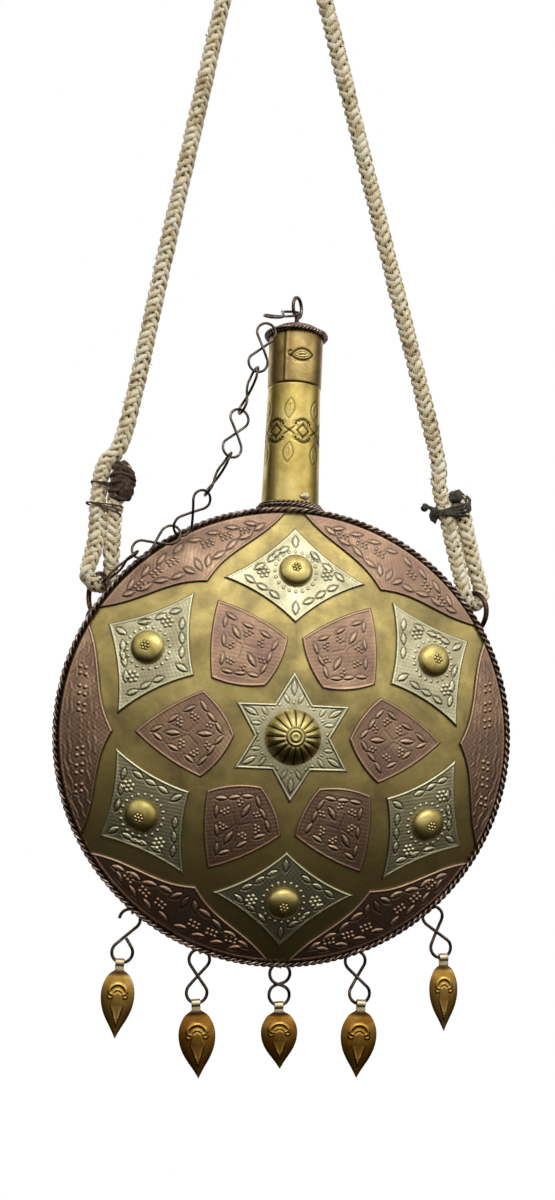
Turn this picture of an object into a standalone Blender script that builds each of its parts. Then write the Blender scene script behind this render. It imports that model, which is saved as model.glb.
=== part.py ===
"""A round flask of brass sheet with copper and nickel-silver plaques, hung on a braided rope.

The origin is under the bight of the rope, +Z is up and the front faces -Y. The flask, its cap, its
chain and its pendants are built in the flask's own upright frame and lean with it.
"""

import math

import bmesh
import bpy
from mathutils import Matrix, Vector

TAU = 2 * math.pi

# Where the flask hangs
LEAN = math.radians(2.2)
DISC_X = 0.006
DISC_Z = -0.511
RING_Y = 0.015
GAP = 0.0003
MERGE = 0.00001

# Body: its radii follow the edge of the front shell
SHELL_EDGE = 0.1363
DOME_HEIGHT = 0.032
DOME_RADIUS = (SHELL_EDGE**2 + DOME_HEIGHT**2) / (2 * DOME_HEIGHT)
FRONT_SHEET = 0.0008
BAND_SHEET = 0.0014
BACK_SHEET = 0.0015
RIM_WIRE = 0.0017
RIM_RADIUS = SHELL_EDGE + RIM_WIRE + GAP
BAND_SHARE = 0.95
BAND_RADIUS = BAND_SHARE * SHELL_EDGE
BAND_FRONT = 0.0008
BAND_DEPTH = 0.044
BACK_FLAT_SHARE = 0.463
BACK_FLAT = BACK_FLAT_SHARE * BAND_RADIUS
BACK_DEPTH = 0.063
BODY_STEPS = 60
# Rings of the front shell, outside and inside, as shares of its radius
OUTER_SHARES = (0, 0.15, 0.3, 0.45, 0.6, 0.75, 0.88, 1)
INNER_SHARES = (1, 0.66, 0.33, 0)

# Neck and cap
NECK_X = -0.0006
NECK_Y = 0.022
NECK_FOOT_RADIUS = 0.0180
NECK_RADIUS = 0.0163
NECK_STEP_RADIUS = 0.0153
NECK_WALL = 0.0014
NECK_SINK = 0.004
NECK_BOTTOM = BAND_RADIUS - NECK_SINK
NECK_STAND = 0.002
NECK_FOOT = RIM_RADIUS + RIM_WIRE + NECK_STAND
NECK_LENGTH = 0.0755
NECK_SHOULDER = NECK_FOOT + NECK_LENGTH
CAP_COVER = 0.03
NECK_TOP = NECK_SHOULDER + CAP_COVER
COLLAR_Z = NECK_FOOT - GAP
COLLAR_WIRE = 0.0017
CAP_ROOM = 0.0013
CAP_TOP_WALL = 0.0022
CAP_TOP = NECK_TOP + CAP_ROOM + CAP_TOP_WALL
CAP_RADIUS = 0.0168
CAP_RIM_RADIUS = 0.0181
CAP_RIM_WIRE = 0.0018
ROUND_STEPS = 24

# Eye on the cap
EYE_STAND = 0.0176
EYE_Z = CAP_TOP + EYE_STAND
EYE_HALF_WIDTH = 0.005
EYE_HALF_HEIGHT = 0.0062
EYE_WIRE = 0.0013
EYE_TURN = math.radians(232)
EYE_CATCH = math.radians(-42)
STEM_RADIUS = 0.0016

# Plaques: shares of the shell's edge radius, from the middle of the disc
PLAQUE = 0.00095
PLAQUE_GAP = 0.0004
COUNT = 6
# Tip and notch of the star; tip, sides, root and middle of a kite and a petal
STAR_SHARES = (0.2825, 0.1643)
KITE_SHARES = (0.9244, 0.7484, 0.4916, 0.719)
PETAL_SHARES = (0.6676, 0.4255, 0.2458, 0.4402)
STAR_TIP, STAR_NOTCH = (share * SHELL_EDGE for share in STAR_SHARES)
KITE_TIP, KITE_SIDE, KITE_ROOT, KITE_MIDDLE = (share * SHELL_EDGE for share in KITE_SHARES)
PETAL_TIP, PETAL_SIDE, PETAL_ROOT, PETAL_MIDDLE = (share * SHELL_EDGE for share in PETAL_SHARES)
KITE_SIDE_TURN = math.radians(24.5)
PETAL_SIDE_TURN = math.radians(26)
KITE_BOW = -0.0028
PETAL_BOW = 0.0022
EDGE_MARGIN = 0.0005
EDGE_RADIUS = SHELL_EDGE - EDGE_MARGIN
EDGE_MIDDLE_SHARE = 0.93
EDGE_ARC_PARTS = 10
# Turn from the plaque's point in degrees, and the radius there as a share of the edge radius
OGEE_SHARES = ((0, 0.768), (3, 0.790), (7, 0.822), (13, 0.854), (21.5, 0.914), (26.5, 0.978))
OGEE_END = 27.6
# How far each plaque's inner rings of points are drawn in, as shares of its outline
STAR_RING_SHARES = (0.62, 0.3)
KITE_RING_SHARES = (0.66, 0.33)
PETAL_RING_SHARES = (0.5,)
EDGE_RING_SHARES = (0.75, 0.5, 0.25)

# Bosses: a profile as shares of radius and height
BOSS_SHARES = ((0, 1), (0.5, 0.86), (0.82, 0.5), (1, 0.12), (1, 0))
CENTRE_BOSS_RADIUS = 0.0162
CENTRE_BOSS_HEIGHT = 0.015
KITE_BOSS_RADIUS = 0.0100
KITE_BOSS_HEIGHT = 0.0052
BOSS_SHEET = 0.0011

# Lugs and rings
RING_RADIUS = 0.0124
RING_WIRE = 0.0016
RING_STAND = 0.00645
RING_RISE = math.radians(35.305)
RING_X = (SHELL_EDGE + RING_STAND) * math.cos(RING_RISE)
RING_Z = (SHELL_EDGE + RING_STAND) * math.sin(RING_RISE)
RING_TURN = math.radians(60)
LUG_ARCH = 0.0056
LUG_WIRE = 0.0015
LUG_DROP = 0.0019

# Figure-eight wire links
LINK_WIRE = 0.00095
LINK_LENGTH = 0.0308
LINK_WIDTH = 0.0116
LINK_POINTS = 24
LINK_PLAY = 0.0005
LOOSE_PLAY = 0.0008
LOOSE_LINKS = 2
# Heading in the picture, tilt to the back and roll of each link in degrees, from the ring up
CHAIN = (
    (42, -30, -88),
    (29, -4, -17),
    (56.5, -3.5, 34),
    (62, 8, 100),
    (78, 9, 15),
    (73, 6, -75),
    (76.5, 3, 5),
)
CHAIN_CATCH = 52
FIRST_LINK_HEADING = math.radians(212)
FIRST_LINK_TILT = math.radians(-43)
FIRST_LINK_ROLL = 50

# Pendants: place round the edge, lean of the hook and of the drop in degrees, share of the width
PENDANTS = (
    (231.1, 13, 4, 0.9),
    (250.7, 4.6, -2, 1),
    (271.1, 2, -1, 1),
    (290.0, -7.5, 3.5, 1),
    (312.4, -15, -0.5, 0.8),
)
SHORT_PENDANT = 3
PENDANT_Y = 0.008
EYELET_STAND = 0.0046
EYELET_RADIUS = SHELL_EDGE + EYELET_STAND
EYELET_HALF_WIDTH = 0.0035
EYELET_WIRE = 0.00095
HOOK_LENGTH = 0.0328
HOOK_SHORT_LENGTH = 0.0256
HOOK_WIDTH = 0.0125
BAIL_WIRE = 0.0009
BAIL_RADIUS = LINK_WIRE + BAIL_WIRE + GAP
DROP_LENGTH = 0.046
DROP_SHORT_LENGTH = 0.039
DROP_HALF_WIDTH = 0.0112
DROP_SHEET = 0.0013
DROP_DOME = 0.0022
# Half outline of a drop, as shares of its length and its half width
DROP_SHARES = (
    (0.05, 0.13),
    (0.12, 0.3),
    (0.17, 0.7),
    (0.25, 0.92),
    (0.36, 1),
    (0.5, 0.93),
    (0.65, 0.7),
    (0.8, 0.42),
    (0.92, 0.18),
)
DROP_MIDDLE_SHARE = 0.42
DROP_RING_SHARES = (0.7, 0.35)

# Rope
ROPE_RADIUS = 0.0052
FOLD_RADIUS = 0.008
FOLD_PARTS = 6
STRAND_OFFSET = 0.0056
PAIR_SHIFT = 0.0022
ROPE_STEP = 0.0245
LEFT_ENTRY_X = -0.0213
RIGHT_ENTRY_X = 0.0217
BIGHT_BELOW = 0.013
LEFT_TIE_Z = -0.359
RIGHT_TIE_Z = -0.366
TIE_HEIGHT = 0.012
TIE_WALL = 0.0017
LEFT_SLOPE = 0.2237
RIGHT_SLOPE = -0.2536
TAIL_OVER = 0.0075
JOIN_RUN = 0.022
KNOT_RADIUS = 0.0048
# Where the rope's long strands are held between the tie and the bight
STRAND_SHARES = (0.33, 0.66)
BIGHT_PARTS = 6


# Scene and materials


def clear():
    for obj in list(bpy.data.objects):
        bpy.data.objects.remove(obj, do_unlink=True)


def collection(name, hidden=False):
    made = bpy.data.collections.new(name)
    made.hide_render = hidden
    bpy.context.scene.collection.children.link(made)
    return made


def surface(name, colour, roughness, metallic=1.0):
    made = bpy.data.materials.new(name)
    made.use_nodes = True
    shader = made.node_tree.nodes["Principled BSDF"]
    shader.inputs["Base Color"].default_value = (*colour, 1)
    shader.inputs["Roughness"].default_value = roughness
    shader.inputs["Metallic"].default_value = metallic
    made.diffuse_color = (*colour, 1)
    return made


def place(obj, material=None, parent=None, location=(0, 0, 0), rotation=(0, 0, 0)):
    obj.parent = parent
    obj.location = location
    obj.rotation_euler = rotation
    if material:
        obj.data.materials.append(material)
    PARTS.objects.link(obj)
    return obj


def empty(name, parent, location, rotation=(0, 0, 0)):
    made = bpy.data.objects.new(name, None)
    made.empty_display_size = RING_RADIUS
    return place(made, None, parent, location, rotation)


def smooth(obj):
    for face in obj.data.polygons:
        face.use_smooth = True
    return obj


# Shapes


def dome(radius):
    """Height of the front's round face above the plane of the rim."""
    return math.sqrt(DOME_RADIUS**2 - radius**2) - DOME_RADIUS + DOME_HEIGHT


def turned(name, profile, steps):
    """A solid turned about Z from (radius, height) points that run down its outer side."""
    mesh = bpy.data.meshes.new(name)
    count = len(profile)
    edges = [(i, (i + 1) % count) for i in range(count)]
    mesh.from_pydata([(radius, 0, height) for radius, height in profile], edges, [])
    obj = bpy.data.objects.new(name, mesh)
    screw = obj.modifiers.new("Screw", "SCREW")
    screw.steps = steps
    screw.render_steps = steps
    screw.use_merge_vertices = True
    screw.merge_threshold = MERGE
    screw.use_smooth_shade = True
    return obj


def wire(name, points, radius, closed=False, sides=0):
    """A round wire through these points; sides adds two to the six it starts with, each step."""
    curve = bpy.data.curves.new(name, "CURVE")
    curve.dimensions = "3D"
    curve.bevel_depth = radius
    curve.bevel_resolution = 1 + sides
    curve.use_fill_caps = not closed
    spline = curve.splines.new("POLY")
    spline.points.add(len(points) - 1)
    for point, place_of in zip(spline.points, points):
        point.co = (*place_of, 1)
    spline.use_cyclic_u = closed
    spline.use_smooth = True
    return bpy.data.objects.new(name, curve)


def as_mesh(obj):
    """The same shape as a mesh, for a Boolean."""
    bpy.context.view_layer.update()
    graph = bpy.context.evaluated_depsgraph_get()
    mesh = bpy.data.meshes.new_from_object(obj.evaluated_get(graph))
    made = bpy.data.objects.new(obj.name, mesh)
    made.parent = obj.parent
    made.matrix_world = obj.matrix_world.copy()
    name = obj.name
    bpy.data.objects.remove(obj, do_unlink=True)
    made.name = name
    bm = bmesh.new()
    bm.from_mesh(mesh)
    bmesh.ops.remove_doubles(bm, verts=bm.verts, dist=MERGE)
    bmesh.ops.recalc_face_normals(bm, faces=bm.faces)
    bm.to_mesh(mesh)
    bm.free()
    return smooth(made)


def cutter(obj, parent, location=(0, 0, 0), rotation=(0, 0, 0)):
    """Moves a helper shape out of the render, ready for a Boolean."""
    obj.parent = parent
    obj.location = location
    obj.rotation_euler = rotation
    obj.hide_render = True
    obj.display_type = "WIRE"
    CUTTERS.objects.link(obj)
    return obj


def boolean(obj, other, operation):
    step = obj.modifiers.new(operation.title(), "BOOLEAN")
    step.operation = operation
    step.solver = "EXACT"
    step.object = other
    return obj


def rounded(points, bow, parts=4):
    """A closed outline whose sides bow out by this much, with parts steps a side."""
    count = len(points)
    out = []
    for i in range(count):
        a, b = Vector(points[i]), Vector(points[(i + 1) % count])
        side = (b - a).normalized()
        outward = Vector((side.y, -side.x))
        for k in range(parts):
            share = k / parts
            out.append(a.lerp(b, share) + outward * bow * 4 * share * (1 - share))
    return out


def polar(radius, turn):
    return radius * math.cos(turn), radius * math.sin(turn)


def sheet(name, outline, middle, rings, height, thickness):
    """A thin plate on a curved face: rings of the outline drawn in towards its middle."""
    bm = bmesh.new()
    ring = [bm.verts.new((*point, 0)) for point in outline]
    count = len(ring)
    edges = [bm.edges.new((ring[i], ring[(i + 1) % count])) for i in range(count)]
    middle = Vector((*middle, 0))
    before = 1
    for share in rings:
        made = bmesh.ops.extrude_edge_only(bm, edges=edges)["geom"]
        edges = [item for item in made if isinstance(item, bmesh.types.BMEdge)]
        moved = [item for item in made if isinstance(item, bmesh.types.BMVert)]
        for vert in moved:
            vert.co = middle + (vert.co - middle) * share / before
        before = share
        edges = [edge for edge in edges if all(vert in moved for vert in edge.verts)]
    inner = bmesh.ops.contextual_create(bm, geom=edges)["faces"]
    hub = bmesh.ops.poke(bm, faces=inner)["verts"][0]
    hub.co = middle
    bmesh.ops.recalc_face_normals(bm, faces=bm.faces)
    if sum(face.normal.z for face in bm.faces) < 0:
        bmesh.ops.reverse_faces(bm, faces=bm.faces)
    for vert in bm.verts:
        vert.co.z = height(vert.co)
    mesh = bpy.data.meshes.new(name)
    bm.to_mesh(mesh)
    bm.free()
    obj = bpy.data.objects.new(name, mesh)
    solid = obj.modifiers.new("Solidify", "SOLIDIFY")
    solid.thickness = thickness
    solid.offset = 1
    return obj


def on_dome(point):
    return dome(math.hypot(point.x, point.y)) + PLAQUE_GAP


def figure_eight(length, width, reach):
    """Points of a closed figure-eight wire along +Z, its near end this far behind the origin."""
    points = []
    for i in range(LINK_POINTS):
        turn = TAU * i / LINK_POINTS
        points.append(
            (
                width / 2 * math.sin(2 * turn),
                (LINK_WIRE + GAP / 2) * math.sin(turn),
                length / 2 * (1 - math.cos(turn)) - reach,
            )
        )
    return points


def facing(direction, roll):
    """The turn that takes +Z to this direction, with +Y as near the viewer as the roll leaves it."""
    along = Vector(direction).normalized()
    front = Vector((0, -1, 0))
    normal = (front - along * front.dot(along)).normalized()
    normal = Matrix.Rotation(roll, 3, along) @ normal
    across = normal.cross(along)
    return Matrix((across, normal, along)).transposed().to_euler()


def heading(turn, tilt):
    """A direction: this far round in the picture from +X to +Z, then tilted to the back."""
    return Vector(
        (math.cos(turn) * math.cos(tilt), math.sin(tilt), math.sin(turn) * math.cos(tilt))
    )


# Body


def shell_points(shares):
    return [(SHELL_EDGE * share, dome(SHELL_EDGE * share)) for share in shares]


def front_shell(material):
    outer = shell_points(OUTER_SHARES)
    inner = [(radius, height - FRONT_SHEET) for radius, height in shell_points(INNER_SHARES)]
    place(turned("front_shell", outer + inner, BODY_STEPS), material, DISC)


def eyelet(turn):
    """A small staple under the band for one pendant hook, as a mesh to join on."""
    foot = BAND_RADIUS - BAND_SHEET / 2
    knee = EYELET_RADIUS - EYELET_HALF_WIDTH
    arch = [polar(1, math.pi - k * math.pi / 6) for k in range(7)]
    path = [(foot, -1, 0)] + [(knee, across, over) for across, over in arch] + [(foot, 1, 0)]
    points = []
    for radius, across, over in path:
        x, y = polar(radius + EYELET_HALF_WIDTH * over, turn)
        points.append((x, y, EYELET_HALF_WIDTH * across - PENDANT_Y))
    return points


def side_band(material):
    inner = BAND_RADIUS - BAND_SHEET
    profile = [
        (BAND_RADIUS, BAND_FRONT),
        (BAND_RADIUS, -BAND_DEPTH / 2),
        (BAND_RADIUS, -BAND_DEPTH),
        (inner, -BAND_DEPTH),
        (inner, -BAND_DEPTH / 2),
        (inner, BAND_FRONT),
    ]
    band = place(turned("side_band", profile, BODY_STEPS), material, DISC)
    hole = turned(
        "neck_hole",
        [(0, NECK_FOOT), (NECK_FOOT_RADIUS + GAP, NECK_FOOT), (NECK_FOOT_RADIUS + GAP, 0), (0, 0)],
        ROUND_STEPS,
    )
    boolean(band, cutter(hole, BODY, (NECK_X, NECK_Y, NECK_BOTTOM - COLLAR_WIRE)), "DIFFERENCE")
    for i, (turn, _, _, _) in enumerate(PENDANTS):
        staple = wire(f"eyelet_{i + 1}", eyelet(math.radians(turn)), EYELET_WIRE)
        CUTTERS.objects.link(staple)
        staple = as_mesh(staple)
        boolean(band, cutter(staple, DISC), "UNION")


def back_shell(material):
    inner = BAND_RADIUS - BACK_SHEET
    top = -BAND_DEPTH - GAP
    deep = top - BACK_SHEET
    half = (BACK_FLAT + BAND_RADIUS) / 2
    half_depth = -BACK_DEPTH + (BACK_DEPTH - BAND_DEPTH) / 3
    profile = [
        (0, -BACK_DEPTH + BACK_SHEET),
        (BACK_FLAT, -BACK_DEPTH + BACK_SHEET),
        (half, half_depth + BACK_SHEET),
        (inner, top),
        (BAND_RADIUS, top),
        (BAND_RADIUS, deep),
        (half, half_depth),
        (BACK_FLAT, -BACK_DEPTH),
        (0, -BACK_DEPTH),
    ]
    place(turned("back_shell", profile, BODY_STEPS), material, DISC)


def ring_points(radius, count):
    return [(*polar(radius, TAU * i / count), 0) for i in range(count)]


def rim_wire(material):
    place(wire("rim_wire", ring_points(RIM_RADIUS, BODY_STEPS), RIM_WIRE, True), material, DISC)


# Neck and cap


def neck_tube(material):
    bore = NECK_STEP_RADIUS - NECK_WALL
    profile = [
        (bore, NECK_TOP),
        (NECK_STEP_RADIUS, NECK_TOP),
        (NECK_STEP_RADIUS, NECK_SHOULDER),
        (NECK_RADIUS, NECK_SHOULDER),
        (NECK_FOOT_RADIUS, NECK_FOOT),
        (NECK_FOOT_RADIUS, NECK_BOTTOM),
        (NECK_FOOT_RADIUS - NECK_WALL, NECK_BOTTOM),
        (NECK_FOOT_RADIUS - NECK_WALL, NECK_FOOT),
    ]
    place(turned("neck_tube", profile, ROUND_STEPS), material, BODY, (NECK_X, NECK_Y, 0))


def neck_collar(material):
    radius = NECK_FOOT_RADIUS + COLLAR_WIRE + GAP
    ring = wire("neck_collar", ring_points(radius, ROUND_STEPS), COLLAR_WIRE, True)
    place(ring, material, BODY, (NECK_X, NECK_Y, COLLAR_Z))


def cap(material):
    """Its rim wire is one with the top here: the two are soldered all round."""
    bottom = NECK_SHOULDER + GAP
    bore = NECK_STEP_RADIUS + GAP
    rim = []
    for k in range(7):
        out, up = polar(CAP_RIM_WIRE, math.pi / 2 - k * math.pi / 6)
        rim.append((CAP_RIM_RADIUS + out, CAP_TOP - CAP_RIM_WIRE / 2 + up))
    profile = [(0, CAP_TOP), (CAP_RADIUS - CAP_RIM_WIRE, CAP_TOP)] + rim
    profile += [
        (CAP_RADIUS, rim[-1][1]),
        (CAP_RADIUS, bottom),
        (bore, bottom),
        (bore, CAP_TOP - CAP_TOP_WALL),
        (0, CAP_TOP - CAP_TOP_WALL),
    ]
    place(turned("cap", profile, ROUND_STEPS), material, BODY, (NECK_X, NECK_Y, 0))


def eye_point(turn, inset=0):
    """A point of the eye's loop, in the flask's frame."""
    out = (EYE_HALF_WIDTH - inset) * math.cos(turn)
    x, y = polar(out, EYE_TURN)
    up = (EYE_HALF_HEIGHT - inset) * math.sin(turn)
    return Vector((NECK_X + x, NECK_Y + y, EYE_Z + up))


def cap_eye(material):
    origin = Vector((NECK_X, NECK_Y, CAP_TOP + GAP))
    points = [eye_point(TAU * i / LINK_POINTS) - origin for i in range(LINK_POINTS)]
    loop = place(wire("cap_eye", points, EYE_WIRE, True, 1), material, BODY, origin)
    loop = as_mesh(loop)
    PARTS.objects.link(loop)
    top = EYE_Z - EYE_HALF_HEIGHT - origin.z
    stem = turned("stem", [(0, top), (STEM_RADIUS, top), (STEM_RADIUS, 0), (0, 0)], ROUND_STEPS // 2)
    boolean(loop, cutter(stem, BODY, origin), "UNION")


# Plaques and bosses


def star_plaque(material):
    points = []
    for i in range(COUNT):
        points.append(polar(STAR_NOTCH, TAU * i / COUNT))
        points.append(polar(STAR_TIP, TAU * (i + 0.5) / COUNT))
    outline = rounded(points, 0, 2)
    star = sheet("star_plaque", outline, (0, 0), STAR_RING_SHARES, on_dome, PLAQUE)
    place(star, material, DISC)


def four_sided(tip, side, side_turn, root):
    """Outer point, two side points and inner point, run anticlockwise."""
    return [(tip, 0), polar(side, side_turn), (root, 0), polar(side, -side_turn)]


def kite_plaques(material, boss_material):
    outline = rounded(four_sided(KITE_TIP, KITE_SIDE, KITE_SIDE_TURN, KITE_ROOT), KITE_BOW)
    tangent = math.asin(KITE_MIDDLE / DOME_RADIUS)
    lift = DOME_RADIUS + PLAQUE_GAP + PLAQUE + GAP
    for i in range(COUNT):
        turn = TAU * (i + 0.5) / COUNT
        name = f"kite_plaque_{i + 1}"
        plate = sheet(name, outline, (KITE_MIDDLE, 0), KITE_RING_SHARES, on_dome, PLAQUE)
        place(plate, material, DISC, (0, 0, 0), (0, 0, turn))
        x, y = polar(lift * math.sin(tangent), turn)
        z = lift * math.cos(tangent) - DOME_RADIUS + DOME_HEIGHT
        made = boss(f"kite_boss_{i + 1}", KITE_BOSS_RADIUS, KITE_BOSS_HEIGHT, 16)
        place(made, boss_material, DISC, (x, y, z), (0, tangent, turn))


def petal_plaques(material):
    outline = rounded(four_sided(PETAL_TIP, PETAL_SIDE, PETAL_SIDE_TURN, PETAL_ROOT), PETAL_BOW, 3)
    for i in range(COUNT):
        name = f"petal_plaque_{i + 1}"
        plate = sheet(name, outline, (PETAL_MIDDLE, 0), PETAL_RING_SHARES, on_dome, PLAQUE)
        place(plate, material, DISC, (0, 0, 0), (0, 0, TAU * i / COUNT))


def edge_plaques(material):
    side = [(math.radians(turn), share * EDGE_RADIUS) for turn, share in OGEE_SHARES]
    end = math.radians(OGEE_END)
    arc = [(end - 2 * end * k / EDGE_ARC_PARTS, EDGE_RADIUS) for k in range(EDGE_ARC_PARTS + 1)]
    path = side + arc + [(-turn, radius) for turn, radius in reversed(side[1:])]
    outline = [polar(radius, turn) for turn, radius in path]
    middle = (EDGE_RADIUS * EDGE_MIDDLE_SHARE, 0)
    for i in range(COUNT):
        plate = sheet(f"edge_plaque_{i + 1}", outline, middle, EDGE_RING_SHARES, on_dome, PLAQUE)
        place(plate, material, DISC, (0, 0, 0), (0, 0, TAU * i / COUNT))


def boss(name, radius, height, steps):
    """A pressed round boss, hollow underneath."""
    outer = [(radius * across, height * up) for across, up in BOSS_SHARES]
    inside = radius - BOSS_SHEET
    inner = [(inside * across, (height - BOSS_SHEET) * up) for across, up in BOSS_SHARES[:-2]]
    return turned(name, outer + [(inside, 0)] + inner[::-1], steps)


def centre_boss(material):
    made = boss("centre_boss", CENTRE_BOSS_RADIUS, CENTRE_BOSS_HEIGHT, ROUND_STEPS)
    foot = dome(CENTRE_BOSS_RADIUS - BOSS_SHEET)
    place(made, material, DISC, (0, 0, foot + PLAQUE_GAP + PLAQUE + GAP))


# Lugs and rings


def ring_centre(side):
    return Vector((side * RING_X, RING_Y, RING_Z))


def ring_point(side, turn):
    """A point of a ring's wire, this far round from its top towards the viewer's side."""
    across = Vector((math.cos(RING_TURN), -math.sin(RING_TURN), 0))
    offset = across * math.sin(turn) + Vector((0, 0, 1)) * math.cos(turn)
    return ring_centre(side) + offset * RING_RADIUS


def ring(name, side, material):
    points = [ring_point(side, TAU * i / ROUND_STEPS) for i in range(ROUND_STEPS)]
    place(wire(name, points, RING_WIRE, True, 1), material, BODY)


def lug(name, side, material):
    """A staple on the band. The ring runs through it and is pulled up against its arch."""
    middle = ring_point(side, math.pi) - Vector((0, 0, LUG_DROP))
    out = Vector((middle.x, 0, middle.z)).normalized()
    across = Vector((-out.z, 0, out.x))
    foot = BAND_RADIUS + GAP
    drop = Vector((middle.x, 0, middle.z)).length - foot
    points = [middle + across * LUG_ARCH - out * drop]
    for k in range(9):
        x, y = polar(LUG_ARCH, k * math.pi / 8)
        points.append(middle + across * x + out * y)
    points.append(middle - across * LUG_ARCH - out * drop)
    place(wire(name, points, LUG_WIRE), material, BODY)


# Chain


def link(number, pivot, direction, roll, reach, material):
    points = figure_eight(LINK_LENGTH, LINK_WIDTH, reach)
    made = wire(f"chain_link_{number}", points, LINK_WIRE, True)
    place(made, material, BODY, pivot, facing(direction, roll))
    return pivot + direction.normalized() * (LINK_LENGTH - reach)


def chain(material):
    """Links hang on one another from the left ring up, looser where they cross the rim."""
    catch = math.radians(CHAIN_CATCH)
    pivot = ring_point(-1, catch)
    reach = RING_WIRE + LINK_WIRE + LINK_PLAY
    for i, (turn, tilt, roll) in enumerate(CHAIN):
        direction = heading(math.radians(turn), math.radians(tilt))
        pivot = link(len(CHAIN) + 1 - i, pivot, direction, math.radians(roll), reach, material)
        reach = 2 * LINK_WIRE + (LOOSE_PLAY if i < LOOSE_LINKS else LINK_PLAY)
    direction = heading(FIRST_LINK_HEADING, FIRST_LINK_TILT)
    reach = EYE_WIRE + LINK_WIRE + GAP
    link(1, eye_point(EYE_CATCH), direction, math.radians(FIRST_LINK_ROLL), reach, material)


# Pendants


def pendants(hook_material, drop_material):
    """Hooks hang on the band's eyelets, drops hang on the hooks, straight down in the world."""
    for i, (turn, hook_lean, drop_lean, wide) in enumerate(PENDANTS):
        short = i + 1 == SHORT_PENDANT
        x, z = polar(EYELET_RADIUS, math.radians(turn))
        apex = BODY_MATRIX @ Vector((x, PENDANT_Y, z))
        reach = EYELET_WIRE + LINK_WIRE + GAP
        top = apex + Vector((0, 0, reach))
        lean = math.radians(hook_lean)
        down = Vector((-math.sin(lean), 0, -math.cos(lean)))
        length = HOOK_SHORT_LENGTH if short else HOOK_LENGTH
        hook = wire(f"pendant_hook_{i + 1}", figure_eight(length, HOOK_WIDTH, 0), LINK_WIRE, True)
        place(hook, hook_material, None, top, facing(down, 0))
        bottom = top + down * length
        drop_length = DROP_SHORT_LENGTH if short else DROP_LENGTH
        made = drop(f"pendant_drop_{i + 1}", drop_length, DROP_HALF_WIDTH * wide, drop_material)
        made.location = bottom
        made.rotation_euler = (0, math.radians(drop_lean), 0)
        bpy.context.view_layer.update()


def drop(name, length, half_width, material):
    """A pressed drop in the XZ plane, hung from a small round bail about X at its origin."""
    right = [(half_width * wide, -length * down) for down, wide in DROP_SHARES]
    left = [(-x, y) for x, y in reversed(right)]
    outline = left + right + [(0, -length)]
    middle = (0, -length * DROP_MIDDLE_SHARE)
    reach = length + middle[1]

    def height(point):
        away = min(1, Vector((point.x * reach / half_width, point.y - middle[1])).length / reach)
        return DROP_DOME * (1 - away**2) - DROP_SHEET / 2

    plate = sheet(name, outline, middle, DROP_RING_SHARES, height, DROP_SHEET)
    place(plate, material)
    plate.data.transform(Matrix.Rotation(math.pi / 2, 4, "X"))
    points = []
    for k in range(12):
        y, z = polar(BAIL_RADIUS, TAU * k / 12)
        points.append((0, y, z))
    bail = wire(f"{name}_bail", points, BAIL_WIRE, True)
    CUTTERS.objects.link(bail)
    bail = as_mesh(bail)
    boolean(plate, cutter(bail, plate), "UNION")
    return plate


# Rope and ties


def fold_centre(side):
    """Middle of the half turn that the rope makes under a ring's top wire."""
    top = BODY_MATRIX @ ring_point(side, 0)
    return top + Vector((0, 0, FOLD_RADIUS - RING_WIRE - GAP - ROPE_RADIUS))


def smooth_path(route, step):
    """Points a step apart on a smooth curve through the route."""
    out = []
    for i in range(len(route) - 1):
        a, b, c, d = (route[max(i - 1, 0)], route[i], route[i + 1], route[min(i + 2, len(route) - 1)])
        parts = max(1, round((c - b).length / step))
        for k in range(parts):
            t = k / parts
            out.append(
                0.5
                * (
                    2 * b
                    + (c - a) * t
                    + (2 * a - 5 * b + 4 * c - d) * t**2
                    + (3 * b - 3 * c + d - a) * t**3
                )
            )
    out.append(route[-1])
    return out


def strand_x(side, z):
    """Where the rope's line runs at this height, on the left or right."""
    entry = LEFT_ENTRY_X if side < 0 else RIGHT_ENTRY_X
    slope = LEFT_SLOPE if side < 0 else RIGHT_SLOPE
    return entry + slope * (z + BIGHT_BELOW)


def pair_x(side, z):
    """Middle of the two strands below the tie."""
    return strand_x(side, z) + side * PAIR_SHIFT


def rope_end(side, tie_z):
    """From the tail's end down, round the fold in the ring and up to where the strand runs alone."""
    centre = fold_centre(side)
    across = Vector((math.sin(RING_TURN), math.cos(RING_TURN), 0))
    tail_top = tie_z + TIE_HEIGHT / 2 + TAIL_OVER
    points = []
    for z in (tail_top, tie_z - TIE_HEIGHT / 2):
        points.append(Vector((pair_x(side, z) + STRAND_OFFSET, 0, z)))
    for k in range(FOLD_PARTS + 1):
        turn = k * math.pi / FOLD_PARTS
        sideways, up = polar(FOLD_RADIUS, -turn)
        points.append(centre + across * sideways + Vector((0, 0, up)))
    for z in (tie_z - TIE_HEIGHT / 2, tail_top):
        points.append(Vector((pair_x(side, z) - STRAND_OFFSET, 0, z)))
    z = tail_top + JOIN_RUN
    points.append(Vector((strand_x(side, z), 0, z)))
    return points


def rope_route():
    left = rope_end(-1, LEFT_TIE_Z)
    right = rope_end(1, RIGHT_TIE_Z)
    middle = []
    for share in STRAND_SHARES:
        z = left[-1].z + (-BIGHT_BELOW - left[-1].z) * share
        middle.append(Vector((strand_x(-1, z), 0, z)))
    centre = (LEFT_ENTRY_X + RIGHT_ENTRY_X) / 2
    rise = ROPE_RADIUS + BIGHT_BELOW
    half = (RIGHT_ENTRY_X - LEFT_ENTRY_X) / 2
    for k in range(BIGHT_PARTS + 1):
        x, z = polar(1, math.pi - k * math.pi / BIGHT_PARTS)
        middle.append(Vector((centre + half * x, 0, -BIGHT_BELOW + rise * z)))
    for share in reversed(STRAND_SHARES):
        z = right[-1].z + (-BIGHT_BELOW - right[-1].z) * share
        middle.append(Vector((strand_x(1, z), 0, z)))
    return left + middle + right[::-1]


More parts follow.
